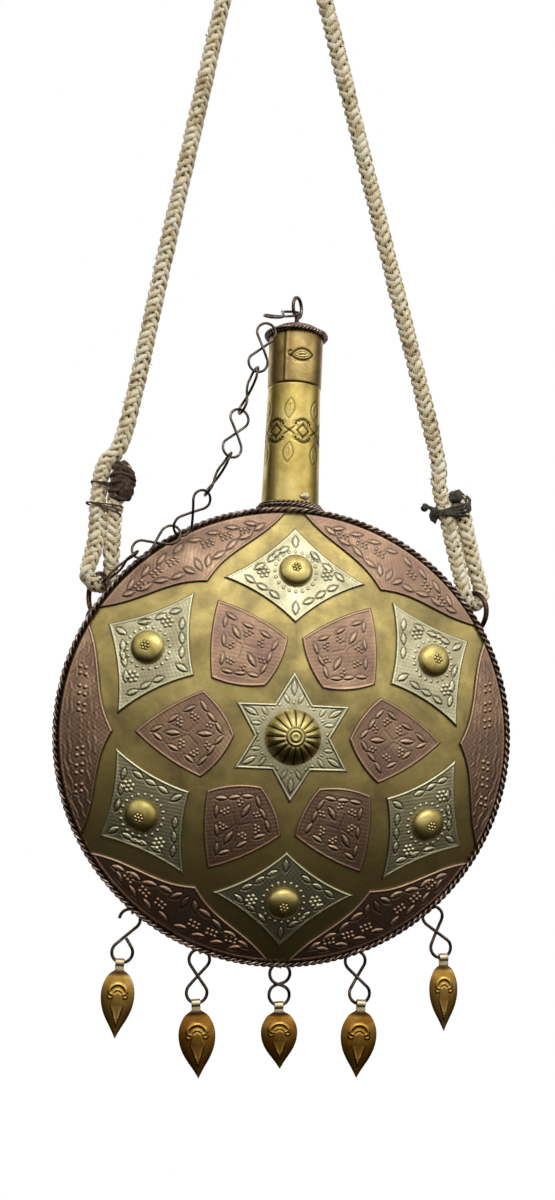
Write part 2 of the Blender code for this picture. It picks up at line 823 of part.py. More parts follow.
def carrying_rope(material):
    points = smooth_path(rope_route(), ROPE_STEP)
    place(wire("carrying_rope", points, ROPE_RADIUS, False, 2), material)


def tie(name, side, tie_z, knot_side, material):
    """A lashing round both strands, with its knot on one side."""
    half = STRAND_OFFSET
    inside = ROPE_RADIUS + 2 * GAP
    outline = []
    for k in range(16):
        x, y = polar(inside, TAU * (k + 0.5) / 16)
        outline.append((x + math.copysign(half, x), y))
    bm = bmesh.new()
    ring = [bm.verts.new((x, y, -TIE_HEIGHT / 2)) for x, y in outline]
    edges = [bm.edges.new((ring[i], ring[(i + 1) % 16])) for i in range(16)]
    made = bmesh.ops.extrude_edge_only(bm, edges=edges)["geom"]
    for item in made:
        if isinstance(item, bmesh.types.BMVert):
            item.co.z += TIE_HEIGHT
    bmesh.ops.recalc_face_normals(bm, faces=bm.faces)
    if sum(face.normal.dot(face.calc_center_median()) for face in bm.faces) < 0:
        bmesh.ops.reverse_faces(bm, faces=bm.faces)
    mesh = bpy.data.meshes.new(name)
    bm.to_mesh(mesh)
    bm.free()
    slope = LEFT_SLOPE if side < 0 else RIGHT_SLOPE
    lean = math.atan(slope)
    wrap = place(
        bpy.data.objects.new(name, mesh),
        material,
        None,
        (pair_x(side, tie_z), 0, tie_z),
        (0, lean, 0),
    )
    solid = wrap.modifiers.new("Solidify", "SOLIDIFY")
    solid.thickness = TIE_WALL
    solid.offset = 1
    bm = bmesh.new()
    bmesh.ops.create_icosphere(bm, subdivisions=2, radius=KNOT_RADIUS)
    mesh = bpy.data.meshes.new(f"{name}_knot")
    bm.to_mesh(mesh)
    bm.free()
    knot = bpy.data.objects.new(f"{name}_knot", mesh)
    out = half + inside + KNOT_RADIUS + GAP
    boolean(wrap, cutter(knot, wrap, (knot_side * out, 0, 0)), "UNION")


clear()
PARTS = collection("round flask")
CUTTERS = collection("cutters", True)
HINGE_Z = RING_Z + RING_RADIUS
BODY_MATRIX = Matrix.Translation((DISC_X, -RING_Y, DISC_Z)) @ Matrix.Rotation(LEAN, 4, "Y")
SWING = empty("flask_frame", None, BODY_MATRIX @ Vector((0, RING_Y, HINGE_Z)), (0, LEAN, 0))
BODY = empty("body_frame", SWING, (0, -RING_Y, -HINGE_Z))
DISC = empty("disc_frame", BODY, (0, 0, 0), (math.pi / 2, 0, 0))
bpy.context.view_layer.update()

BRASS = surface("pale hammered brass", (0.60, 0.50, 0.24), 0.34)
NECK_BRASS = surface("polished neck brass", (0.66, 0.52, 0.18), 0.28)
CAP_BRASS = surface("worn cap brass", (0.42, 0.30, 0.13), 0.36)
COPPER = surface("chased copper", (0.45, 0.26, 0.19), 0.38)
SILVER = surface("nickel silver", (0.60, 0.56, 0.36), 0.33)
DARK_WIRE = surface("dark twisted wire", (0.16, 0.12, 0.09), 0.42)
IRON = surface("dark iron wire", (0.07, 0.065, 0.06), 0.45)
HOOK_COPPER = surface("drawn copper wire", (0.38, 0.22, 0.14), 0.35)
AMBER = surface("pressed amber brass", (0.38, 0.22, 0.07), 0.28)
COTTON = surface("braided cotton", (0.62, 0.56, 0.42), 0.9, 0.0)
CLOTH = surface("dark tie cloth", (0.08, 0.06, 0.05), 0.95, 0.0)

front_shell(BRASS)
side_band(BRASS)
back_shell(BRASS)
rim_wire(DARK_WIRE)
neck_tube(NECK_BRASS)
neck_collar(DARK_WIRE)
cap(CAP_BRASS)
cap_eye(CAP_BRASS)
star_plaque(SILVER)
centre_boss(BRASS)
kite_plaques(SILVER, BRASS)
petal_plaques(COPPER)
edge_plaques(COPPER)
lug("left_lug", -1, DARK_WIRE)
lug("right_lug", 1, DARK_WIRE)
ring("left_ring", -1, HOOK_COPPER)
ring("right_ring", 1, HOOK_COPPER)
chain(IRON)
pendants(HOOK_COPPER, AMBER)
carrying_rope(COTTON)
tie("left_tie", -1, LEFT_TIE_Z, 1, CLOTH)
tie("right_tie", 1, RIGHT_TIE_Z, 1, CLOTH)
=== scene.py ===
"""Looks for the round flask on its rope: chased plaques, twisted wire, engraved neck, braid."""

import math

import bpy
import numpy as np
from mathutils import Euler, Matrix, Vector, noise


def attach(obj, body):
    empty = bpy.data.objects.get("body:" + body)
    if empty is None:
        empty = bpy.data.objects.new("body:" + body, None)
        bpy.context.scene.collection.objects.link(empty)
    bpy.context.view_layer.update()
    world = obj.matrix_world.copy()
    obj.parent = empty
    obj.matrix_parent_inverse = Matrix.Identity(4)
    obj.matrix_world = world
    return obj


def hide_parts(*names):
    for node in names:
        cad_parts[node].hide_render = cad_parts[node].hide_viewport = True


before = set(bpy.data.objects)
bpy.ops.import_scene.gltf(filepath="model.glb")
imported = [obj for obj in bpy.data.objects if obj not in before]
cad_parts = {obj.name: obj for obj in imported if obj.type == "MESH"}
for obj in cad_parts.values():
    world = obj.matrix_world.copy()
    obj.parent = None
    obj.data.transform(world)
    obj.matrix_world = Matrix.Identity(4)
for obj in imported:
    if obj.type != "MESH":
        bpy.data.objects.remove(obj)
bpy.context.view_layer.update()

TAU = 2 * math.pi
MM = 0.001

# Places, as in the solids
LEAN = math.radians(2.2)
DISC_CENTRE = Vector((0.006, -0.015, -0.511))
BODY_MATRIX = Matrix.Translation(DISC_CENTRE) @ Matrix.Rotation(LEAN, 4, "Y")
DISC_MATRIX = BODY_MATRIX @ Matrix.Rotation(math.pi / 2, 4, "X")
SHELL_EDGE = 0.1363
DOME_HEIGHT = 0.032
DOME_RADIUS = (SHELL_EDGE**2 + DOME_HEIGHT**2) / (2 * DOME_HEIGHT)
RIM_RADIUS = 0.1383
BAND_RADIUS = 0.95 * SHELL_EDGE
BAND_DEPTH = 0.044
BACK_DEPTH = 0.063
BACK_FLAT = 0.463 * BAND_RADIUS
PLAQUE_LIFT = 0.0004 + 0.00095
NECK = Vector((-0.0006, 0.022, 0))


# Camera


def camera():
    lens = bpy.data.cameras.new("camera")
    lens.lens = 34.5
    lens.sensor_width = 36
    lens.shift_y = 0.1108
    eye = bpy.data.objects.new("camera", lens)
    eye.location = (-0.075, -0.707, -0.5085)
    eye.rotation_euler = (math.radians(90), 0, math.radians(-6.25))
    bpy.context.scene.collection.objects.link(eye)
    bpy.context.scene.camera = eye


camera()


# Materials


def linear(colour):
    """An sRGB hex colour as linear light."""
    parts = [int(colour[i : i + 2], 16) / 255 for i in (1, 3, 5)]
    return [c / 12.92 if c <= 0.04045 else ((c + 0.055) / 1.055) ** 2.4 for c in parts] + [1]


def add(tree, kind, values=None, links=None, ramp=None):
    """Adds a node with its settings, its links and, on a ramp, its (place, colour) stops."""
    made = tree.nodes.new(kind)
    for key, value in (values or {}).items():
        if isinstance(key, int) or key in made.inputs:
            made.inputs[key].default_value = value
        else:
            setattr(made, key, value)
    for key, source in (links or {}).items():
        tree.links.new(source, made.inputs[key])
    if ramp:
        stops = made.color_ramp.elements
        while len(stops) < len(ramp):
            stops.new(1)
        for stop, (place, colour) in zip(stops, ramp):
            stop.position = place
            stop.color = linear(colour)
    return made


def material(name):
    made = bpy.data.materials.new(name)
    made.use_nodes = True
    return made, made.node_tree, made.node_tree.nodes["Principled BSDF"]


def metal(name, base, patina, groove_and_shade, shine, roughness, blotch, grain, dent, wax=0.0):
    """Worked sheet or wire: patina in blotches, dark in the chased lines, bright on what is rubbed; the same colours
    also carry painted light: a painted highlight and painted shade along plate edges, and painted shadow at the tops of
    the drops.
    """
    made, tree, shader = material(name)
    place = add(tree, "ShaderNodeTexCoord").outputs["Object"]
    cloud = add(
        tree,
        "ShaderNodeTexNoise",
        {"Scale": 1 / blotch, "Detail": 5, "Roughness": 0.6, "Distortion": 0.4},
        {"Vector": place},
    )
    tone = add(
        tree,
        "ShaderNodeValToRGB",
        None,
        {"Fac": cloud.outputs["Fac"]},
        [(0.30, patina), (0.52, base), (0.76, shine)],
    )
    speck = add(
        tree,
        "ShaderNodeTexNoise",
        {"Scale": 1 / grain, "Detail": 6, "Roughness": 0.7},
        {"Vector": place},
    )
    dusty = add(
        tree,
        "ShaderNodeMix",
        {"data_type": "RGBA", "blend_type": "MULTIPLY", 0: 0.35},
        {6: tone.outputs["Color"], 7: speck.outputs["Fac"]},
    )
    # The chase attribute holds the relief's height and also painted light: a painted highlight and painted shade along
    # plate edges, and painted shadow at the tops of the drops.
    chase_and_painted_light = add(tree, "ShaderNodeAttribute", {"attribute_name": "chase_and_painted_light"}).outputs["Fac"]
    sunk = add(
        tree,
        "ShaderNodeMapRange",
        {"From Min": -0.02, "From Max": -0.24, "To Min": 0.0, "To Max": 0.9},
        {"Value": chase_and_painted_light},
    )
    # Sunk parts take the groove colour: dirt in the chased lines, and painted shade at plate edges and under the bails.
    grooves_and_painted_shade = add(
        tree,
        "ShaderNodeMix",
        {"data_type": "RGBA", 7: linear(groove_and_shade)},
        {0: sunk.outputs["Result"], 6: dusty.outputs[2]},
    )
    raised = add(
        tree,
        "ShaderNodeMapRange",
        {"From Min": 0.12, "From Max": 0.5, "To Min": 0.0, "To Max": 0.55},
        {"Value": chase_and_painted_light},
    )
    # Raised parts take the shine colour: wear on the relief, and a painted highlight along plate edges.
    rubbed_and_painted_glint = add(
        tree,
        "ShaderNodeMix",
        {"data_type": "RGBA", 7: linear(shine)},
        {0: raised.outputs["Result"], 6: grooves_and_painted_shade.outputs[2]},
    )
    tree.links.new(rubbed_and_painted_glint.outputs[2], shader.inputs["Base Color"])
    dull = add(
        tree,
        "ShaderNodeMapRange",
        {"From Min": 0.3, "From Max": 0.7, "To Min": roughness + 0.1, "To Max": roughness - 0.06},
        {"Value": cloud.outputs["Fac"]},
    )
    tree.links.new(dull.outputs["Result"], shader.inputs["Roughness"])
    bump = add(
        tree,
        "ShaderNodeBump",
        {"Strength": 0.5, "Distance": dent},
        {"Height": speck.outputs["Fac"]},
    )
    tree.links.new(bump.outputs["Normal"], shader.inputs["Normal"])
    shader.inputs["Metallic"].default_value = 1.0
    shader.inputs["Coat Weight"].default_value = wax
    shader.inputs["Coat Roughness"].default_value = 0.42
    shader.inputs["Coat IOR"].default_value = 1.85
    return made


# Rolled yellow brass, hand hammered and long unpolished: olive patina in patches
BRASS = metal("hammered yellow brass", "#ae9954", "#80703b", "#221b0d", "#d2be74", 0.42, 26 * MM, 2.2 * MM, 0.12 * MM, 0.4)
# The neck is rubbed by the hand, so it stays bright yellow
NECK_BRASS = metal("burnished neck brass", "#dfc673", "#b29950", "#30230e", "#f4df96", 0.34, 20 * MM, 2.6 * MM, 0.06 * MM)
# The cap is handled less and has gone brown
CAP_BRASS = metal("browned cap brass", "#b59a62", "#8a6f47", "#2a1e10", "#d6bf7e", 0.34, 12 * MM, 2.2 * MM, 0.08 * MM)
# Pressed brass bosses, the high parts of the disc, in a paler and brighter brass
BOSS_BRASS = metal("pressed boss brass", "#d6c47c", "#b09c58", "#3b2f12", "#efe2a0", 0.36, 9 * MM, 1.6 * MM, 0.08 * MM)
# Copper sheet, chased and oxidised to a mauve brown
COPPER = metal("chased oxidised copper", "#94693f", "#774828", "#22120a", "#c09a72", 0.42, 22 * MM, 1.8 * MM, 0.10 * MM, 1.0)
# Nickel silver sheet, chased: a pale greenish grey
SILVER = metal("chased nickel silver", "#c5bd94", "#a49d76", "#38341e", "#e8e3bd", 0.40, 18 * MM, 1.6 * MM, 0.08 * MM, 0.5)
# Two strands of blackened copper wire twisted together
TWISTED = metal("blackened twisted wire", "#8a766a", "#4a3932", "#171010", "#e2d2c4", 0.26, 6 * MM, 1.2 * MM, 0.05 * MM)
# Drawn iron wire, grey and worn shiny on its edges
IRON = metal("drawn iron wire", "#665a51", "#352d28", "#161413", "#ab9f94", 0.30, 5 * MM, 1.0 * MM, 0.05 * MM)
# Hooks of darkened copper wire
HOOK_WIRE = metal("darkened hook wire", "#5d4f43", "#382d23", "#17110d", "#9c8878", 0.32, 6 * MM, 1.0 * MM, 0.04 * MM)
# Rings and lugs of thick copper wire
RING_COPPER = metal("thick copper wire", "#553d33", "#2f231f", "#1a110d", "#9c7c6a", 0.30, 7 * MM, 1.2 * MM, 0.05 * MM)
# Pressed amber brass under lacquer
AMBER = metal("lacquered amber brass", "#c08c3c", "#8c5a26", "#2a1606", "#eac268", 0.28, 9 * MM, 1.4 * MM, 0.05 * MM)
# A lighter copy of the amber brass, for the two outer drops
PALE_AMBER = metal("lighter amber brass", "#dcab54", "#b07c3a", "#3a200b", "#f6dc8c", 0.28, 9 * MM, 1.4 * MM, 0.05 * MM)
# The short bails are pale, soldered brass strip
BAIL = metal("pale soldered brass", "#e3d3ae", "#c9ad86", "#5a4630", "#f3e9cf", 0.42, 4 * MM, 1.0 * MM, 0.05 * MM)


def cotton():
    """Braided cotton cord: cream on its crowns with painted shade in brown between the plaits, dusty and flecked over
    all.
    """
    made, tree, shader = material("braided cotton cord")
    place = add(tree, "ShaderNodeTexCoord").outputs["Object"]
    crown_shade_and_tone = add(tree, "ShaderNodeAttribute", {"attribute_name": "crown_shade_and_tone"}).outputs["Fac"]
    along = add(tree, "ShaderNodeUVMap", {"uv_map": "yarn"}).outputs["UV"]
    yarn = add(
        tree,
        "ShaderNodeTexWave",
        {"Scale": 1.0, "Distortion": 1.4, "Detail": 2, "bands_direction": "DIAGONAL"},
        {"Vector": along},
    )
    dirt = add(
        tree,
        "ShaderNodeTexNoise",
        {"Scale": 1 / (9 * MM), "Detail": 6, "Roughness": 0.68},
        {"Vector": place},
    )
    fleck = add(
        tree,
        "ShaderNodeTexNoise",
        {"Scale": 1 / (1.7 * MM), "Detail": 3, "Roughness": 0.6},
        {"Vector": place},
    )
    # Painted light and shade: brown where a plait lies deep or passes under, cream higher up, near white on the tops of
    # the plaits.
    depth = add(
        tree,
        "ShaderNodeValToRGB",
        None,
        {"Fac": crown_shade_and_tone},
        [(0.06, "#4a3c26"), (0.26, "#8f7d58"), (0.42, "#e6d8b0"), (0.70, "#fff6dc")],
    )
    soil = add(
        tree,
        "ShaderNodeValToRGB",
        None,
        {"Fac": dirt.outputs["Fac"]},
        [(0.33, "#a58f66"), (0.45, "#efe4ca"), (0.60, "#ffffff")],
    )
    # Real dirt laid over the painted shade.
    dusty = add(
        tree,
        "ShaderNodeMix",
        {"data_type": "RGBA", "blend_type": "MULTIPLY", 0: 0.8},
        {6: depth.outputs["Color"], 7: soil.outputs["Color"]},
    )
    spots = add(
        tree,
        "ShaderNodeValToRGB",
        None,
        {"Fac": fleck.outputs["Fac"]},
        [(0.31, "#2d2416"), (0.38, "#ffffff")],
    )
    flecked = add(
        tree,
        "ShaderNodeMix",
        {"data_type": "RGBA", "blend_type": "MULTIPLY", 0: 0.8},
        {6: dusty.outputs[2], 7: spots.outputs["Color"]},
    )
    threads = add(
        tree,
        "ShaderNodeMix",
        {"data_type": "RGBA", "blend_type": "MULTIPLY", 0: 0.15},
        {6: flecked.outputs[2], 7: yarn.outputs["Color"]},
    )
    tree.links.new(threads.outputs[2], shader.inputs["Base Color"])
    bump = add(
        tree,
        "ShaderNodeBump",
        {"Strength": 0.7, "Distance": 0.25 * MM},
        {"Height": yarn.outputs["Fac"]},
    )
    tree.links.new(bump.outputs["Normal"], shader.inputs["Normal"])
    shader.inputs["Roughness"].default_value = 0.92
    shader.inputs["Sheen Weight"].default_value = 0.25
    return made


def cloth(name, base, dark):
    """Wound rag or cord, dull and dusty, with its threads showing as fine ridges."""
    made, tree, shader = material(name)
    place = add(tree, "ShaderNodeTexCoord").outputs["Object"]
    cloud = add(
        tree,
        "ShaderNodeTexNoise",
        {"Scale": 1 / (3 * MM), "Detail": 6, "Roughness": 0.7},
        {"Vector": place},
    )
    tone = add(
        tree,
        "ShaderNodeValToRGB",
        None,
        {"Fac": cloud.outputs["Fac"]},
        [(0.38, dark), (0.66, base)],
    )
    tree.links.new(tone.outputs["Color"], shader.inputs["Base Color"])
    bump = add(
        tree,
        "ShaderNodeBump",
        {"Strength": 0.8, "Distance": 0.4 * MM},
        {"Height": cloud.outputs["Fac"]},
    )
    tree.links.new(bump.outputs["Normal"], shader.inputs["Normal"])
    shader.inputs["Roughness"].default_value = 0.95
    return made


COTTON = cotton()
BROWN_RAG = cloth("wound brown rag", "#6b5642", "#2a1e15")
TARRED = cloth("tarred lashing cord", "#5c5a4c", "#24221b")


# Making and placing


def deselect():
    bpy.ops.object.select_all(action="DESELECT")


def settle(obj, name, body, nodes, slot, *materials, matrix=None):
    """Names a finished piece, bakes its place into its mesh and ties it to the frame."""
    if matrix:
        obj.data.transform(matrix)
    obj.name = name
    obj.data.name = name
    obj.data.materials.clear()
    for made in materials:
        obj.data.materials.append(made)
    obj.data.polygons.foreach_set("use_smooth", [True] * len(obj.data.polygons))
    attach(obj, body)
    if nodes:
        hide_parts(*nodes)
    return obj


def new_mesh(points, faces):
    mesh = bpy.data.meshes.new("piece")
    mesh.from_pydata(points, [], faces)
    obj = bpy.data.objects.new("piece", mesh)
    bpy.context.scene.collection.objects.link(obj)
    return obj


def store(obj, name, values):
    attribute = obj.data.attributes.new(name, "FLOAT", "POINT")
    attribute.data.foreach_set("value", np.asarray(values, np.float32))


def coordinates(obj):
    points = np.zeros(len(obj.data.vertices) * 3)
    obj.data.vertices.foreach_get("co", points)
    return points.reshape(-1, 3)


def put(obj, points):
    obj.data.vertices.foreach_set("co", np.asarray(points, np.float32).ravel())
    obj.data.update()


def turned(profile, steps):
    """A profile of (radius, height) points drawn by extruding a vertex, then spun about Z."""
    deselect()
    bpy.ops.mesh.primitive_plane_add(size=1)
    bpy.ops.object.mode_set(mode="EDIT")
    bpy.ops.mesh.select_mode(type="VERT")
    bpy.ops.mesh.select_all(action="SELECT")
    bpy.ops.mesh.merge(type="CENTER")
    bpy.ops.transform.translate(value=(profile[0][0], 0, profile[0][1]))
    for (a, b), (c, d) in zip(profile, profile[1:]):
        bpy.ops.mesh.extrude_vertices_move(TRANSFORM_OT_translate={"value": (c - a, 0, d - b)})
    bpy.ops.mesh.select_all(action="SELECT")
    bpy.ops.mesh.spin(steps=steps, angle=TAU, center=(0, 0, 0), axis=(0, 0, 1))
    bpy.ops.mesh.select_all(action="SELECT")
    bpy.ops.mesh.remove_doubles(threshold=0.000002)
    bpy.ops.mesh.normals_make_consistent(inside=False)
    bpy.ops.object.mode_set(mode="OBJECT")
    return bpy.context.object


def wire(points, radius, cyclic=False, sides=3):
    """A round wire through these points, as a mesh with closed ends."""
    deselect()
    curve = bpy.data.curves.new("wire", "CURVE")
    curve.dimensions = "3D"
    curve.bevel_depth = radius
    curve.bevel_resolution = sides
    curve.use_fill_caps = not cyclic
    spline = curve.splines.new("POLY")
    spline.points.add(len(points) - 1)
    for point, at in zip(spline.points, points):
        point.co = (*at, 1)
    spline.use_cyclic_u = cyclic
    obj = bpy.data.objects.new("wire", curve)
    bpy.context.scene.collection.objects.link(obj)
    obj.select_set(True)
    bpy.context.view_layer.objects.active = obj
    bpy.ops.object.convert(target="MESH")
    bpy.ops.object.mode_set(mode="EDIT")
    bpy.ops.mesh.select_all(action="SELECT")
    bpy.ops.mesh.remove_doubles(threshold=0.00001)
    bpy.ops.mesh.normals_make_consistent(inside=False)
    bpy.ops.object.mode_set(mode="OBJECT")
    return bpy.context.object


def join(pieces):
    deselect()
    for piece in pieces:
        piece.select_set(True)
    bpy.context.view_layer.objects.active = pieces[0]
    bpy.ops.object.join()
    return pieces[0]


def polar(radius, turn):
    return radius * math.cos(turn), radius * math.sin(turn)


def spline(route, step):
    """Points about a step apart on a smooth curve through the route."""
    out = []
    for i in range(len(route) - 1):
        ends = (max(i - 1, 0), i, i + 1, min(i + 2, len(route) - 1))
        a, b, c, d = (Vector(route[k]) for k in ends)
        parts = max(1, round((c - b).length / step))
        for k in range(parts):
            t = k / parts
            out.append(
                0.5
                * (
                    2 * b
                    + (c - a) * t
                    + (2 * a - 5 * b + 4 * c - d) * t**2
                    + (3 * b - 3 * c + d - a) * t**3
                )
            )
    out.append(Vector(route[-1]))
    return out


# Rope: its route is the solids' route, from the left tail round both rings to the right tail

ROPE_ROUTE = [
    (-0.09228, 0.00000, -0.34550),
    (-0.09664, 0.00000, -0.36500),
    (-0.09895, 0.00120, -0.39200),
    (-0.09984, 0.00400, -0.41080),
    (-0.10077, 0.00346, -0.41480),
    (-0.10330, 0.00200, -0.41773),
    (-0.10677, 0.00000, -0.41880),
    (-0.11023, -0.00200, -0.41773),
    (-0.11277, -0.00346, -0.41480),
    (-0.11370, -0.00400, -0.41080),
    (-0.10885, -0.00120, -0.39200),
    (-0.10720, 0.00000, -0.36500),
    (-0.10348, 0.00000, -0.34550),
    (-0.09076, 0.00000, -0.32350),
    (-0.06784, 0.00000, -0.22104),
    (-0.04492, 0.00000, -0.11857),
    (-0.02130, 0.00000, -0.01300),
    (-0.01842, 0.00000, -0.00390),
    (-0.01055, 0.00000, 0.00276),
    (0.00020, 0.00000, 0.00520),
    (0.01095, 0.00000, 0.00276),
    (0.01882, 0.00000, -0.00390),
    (0.02170, 0.00000, -0.01300),
    (0.04908, 0.00000, -0.12095),
    (0.07565, 0.00000, -0.22573),
    (0.10222, 0.00000, -0.33050),
    (0.10440, 0.00000, -0.35250),
    (0.10934, 0.00000, -0.37200),
    (0.11540, -0.00120, -0.39900),
    (0.11913, -0.00400, -0.41974),
    (0.12005, -0.00346, -0.42374),
    (0.12259, -0.00200, -0.42667),
    (0.12605, 0.00000, -0.42774),
    (0.12952, 0.00200, -0.42667),
    (0.13205, 0.00346, -0.42374),
    (0.13298, 0.00400, -0.41974),
    (0.12640, 0.00120, -0.39900),
    (0.12010, 0.00000, -0.37200),
    (0.11760, 0.00000, -0.36150),
]
PLAITS = 4
PLAIT_PITCH = 0.0215
PLAIT_RADIUS = 0.0035
PLAIT_LIFT = 0.00062
PLAIT_WIDTH = 0.00182
PLAIT_THICK = 0.00122
PLAIT_STEP = 0.00075
PLAIT_SIDES = 6


def frames(path):
    """Tangent and two cross directions at each point of a path, turning as little as they can."""
    points = np.array([tuple(p) for p in path])
    tangent = np.gradient(points, axis=0)
    tangent /= np.linalg.norm(tangent, axis=1)[:, None]
    side = np.zeros_like(points)
    first = np.cross(tangent[0], (0, 1, 0))
    side[0] = first / np.linalg.norm(first)
    for i in range(1, len(points)):
        turned_side = side[i - 1] - tangent[i] * np.dot(side[i - 1], tangent[i])
        side[i] = turned_side / np.linalg.norm(turned_side)
    return points, tangent, side, np.cross(tangent, side)


def tube_faces(rings, sides, start=0):
    """Quads along a tube of rings, with both its ends closed."""
    faces = []
    for i in range(rings - 1):
        for k in range(sides):
            a, b = start + i * sides + k, start + i * sides + (k + 1) % sides
            faces.append((a, b, b + sides, a + sides))
    faces.append(tuple(start + k for k in reversed(range(sides))))
    faces.append(tuple(start + (rings - 1) * sides + k for k in range(sides)))
    return faces


def rope():
    """Eight plaits laid over and under one another round a core, with loose fibres and dirt."""
    path = spline(ROPE_ROUTE, PLAIT_STEP)
    points, tangent, side, up = frames(path)
    run = np.concatenate(([0], np.cumsum(np.linalg.norm(np.diff(points, axis=0), axis=1))))
    count = len(points)
    verts, faces, crown_shade_and_tone, uv = [], [], [], []
    omega = TAU / PLAIT_PITCH
    rng = np.random.default_rng(7)
    wander = np.interp(run, np.linspace(0, run[-1], 110), rng.uniform(-0.45, 0.45, 110))
    swell = 1 + np.interp(run, np.linspace(0, run[-1], 120), rng.uniform(-0.05, 0.07, 120))
    swell = swell - 0.09 * np.clip((-0.403 - points[:, 2]) / 0.006, 0, 1)
    for way in (1, -1):
        for i in range(PLAITS):
            slip = np.interp(run, np.linspace(0, run[-1], 170), rng.uniform(-0.3, 0.3, 170))
            puff = np.interp(run, np.linspace(0, run[-1], 220), rng.uniform(0.72, 1.24, 220))
            shade = np.interp(run, np.linspace(0, run[-1], 200), rng.uniform(-0.2, 0.16, 200))
            phase = omega * run + wander
            turn = way * phase + TAU * i / PLAITS + (0 if way > 0 else TAU / 8) + slip * 0.5
            weave = way * np.cos(2 * phase + way * math.pi * i + (0 if way > 0 else -math.pi / 2))
            radius = PLAIT_RADIUS * swell + PLAIT_LIFT * weave
            out = side * np.cos(turn)[:, None] + up * np.sin(turn)[:, None]
            round_it = -side * np.sin(turn)[:, None] + up * np.cos(turn)[:, None]
            middle = points + out * radius[:, None]
            along = tangent + round_it * (way * omega * PLAIT_RADIUS)
            along /= np.linalg.norm(along, axis=1)[:, None]
            across = np.cross(out, along)
            start = len(verts)
            block = np.zeros((count, PLAIT_SIDES, 3))
            for k in range(PLAIT_SIDES):
                x, y = polar(1, TAU * k / PLAIT_SIDES)
                block[:, k] = middle + across * (PLAIT_WIDTH * x * puff)[:, None] + out * (PLAIT_THICK * y)
            verts.extend(block.reshape(-1, 3).tolist())
            faces.extend(tube_faces(count, PLAIT_SIDES, start))
            # Painted light and shade: each plait is lighter on its outer side and where it passes over, and darker on
            # its inner side and where it passes under; shade adds random tone along it.
            height = np.array([math.sin(TAU * k / PLAIT_SIDES) for k in range(PLAIT_SIDES)])
            value = 0.36 + 0.16 * weave[:, None] + 0.42 * height[None, :] + shade[:, None]
            crown_shade_and_tone.extend(value.ravel().tolist())
            for j in range(count):
                uv.extend((run[j] / 0.0016, k / PLAIT_SIDES * 4) for k in range(PLAIT_SIDES))
    core = path[::3]
    core_points, _, core_side, core_up = frames(core)
    start = len(verts)
    for at, across, over in zip(core_points, core_side, core_up):
        for k in range(12):
            x, y = polar(PLAIT_RADIUS, TAU * k / 12)
            verts.append((at + across * x + over * y).tolist())
            # The core gets the darkest painted shade; it shows only in the gaps between the plaits.
            crown_shade_and_tone.append(0.0)
            uv.append((0, 0))
    faces.extend(tube_faces(len(core), 12, start))
    tufts = [(rng.uniform(0, TAU), int(rng.integers(20, count - 20))) for _ in range(26)]
    for n in range(230):
        if n < 130:
            angle, j = rng.uniform(0, TAU), int(rng.integers(20, count - 20))
            tone, thick, reach = 0.62, 0.00011, rng.uniform(0.0012, 0.0030)
        else:
            angle, j = tufts[n % 26]
            angle, j = angle + rng.uniform(-0.35, 0.35), j + int(rng.integers(-2, 3))
            tone, thick, reach = 0.03, 0.00026, rng.uniform(0.0006, 0.0022)
        out = side[j] * math.cos(angle) + up[j] * math.sin(angle)
        sweep = tangent[j] * rng.uniform(-1, 1) + np.cross(tangent[j], out) * rng.uniform(-1, 1)
        start = len(verts)
        for m in range(5):
            t = m / 4
            at = points[j] + out * (0.0046 + reach * t) + sweep * (0.0036 * t * t)
            for k in range(3):
                x, y = polar(thick * (1.1 - t), TAU * k / 3)
                verts.append((at + tangent[j] * x + np.cross(tangent[j], out) * y).tolist())
                crown_shade_and_tone.append(tone)
                uv.append((0, 0))
        faces.extend(tube_faces(5, 3, start))
    obj = new_mesh(verts, faces)
    store(obj, "crown_shade_and_tone", crown_shade_and_tone)
    layer = obj.data.uv_layers.new(name="yarn")
    corner = np.zeros(len(obj.data.loops), np.int32)
    obj.data.loops.foreach_get("vertex_index", corner)
    layer.data.foreach_set("uv", np.array(uv, np.float32)[corner].ravel())
    settle(obj, "rope_braid", "strap", ["carrying_rope"], "cotton", COTTON)
    return obj, [tuple(p) for p in path[::2]] + [tuple(path[-1])]


ROPE, ROPE_PATH = rope()


def loop_round(centre, across, along, half, radius, slant, count=28):
    """A closed stadium-shaped turn of cord round both strands, slanted along them."""
    points = []
    for k in range(count):
        x, y = polar(radius, TAU * k / count)
        x += math.copysign(half, x)
        points.append(centre + across * x + Vector((0, y, 0)) + along * (slant * x / (half + radius)))
    return points


def lump(centre, size, seed, detail=4, rough=0.22):
    """A knotted lump: a ball pulled about by noise."""
    deselect()
    bpy.ops.mesh.primitive_ico_sphere_add(subdivisions=detail, radius=1)
    obj = bpy.context.object
    for vert in obj.data.vertices:
        push = noise.noise(vert.co * 1.6 + Vector((seed, 0, 0))) * rough
        push += noise.noise(vert.co * 4.5 + Vector((0, seed, 0))) * rough * 0.4
        away = vert.co * (1 + push)
        vert.co = Vector((away.x * size[0], away.y * size[1], away.z * size[2])) + Vector(centre)
    return obj


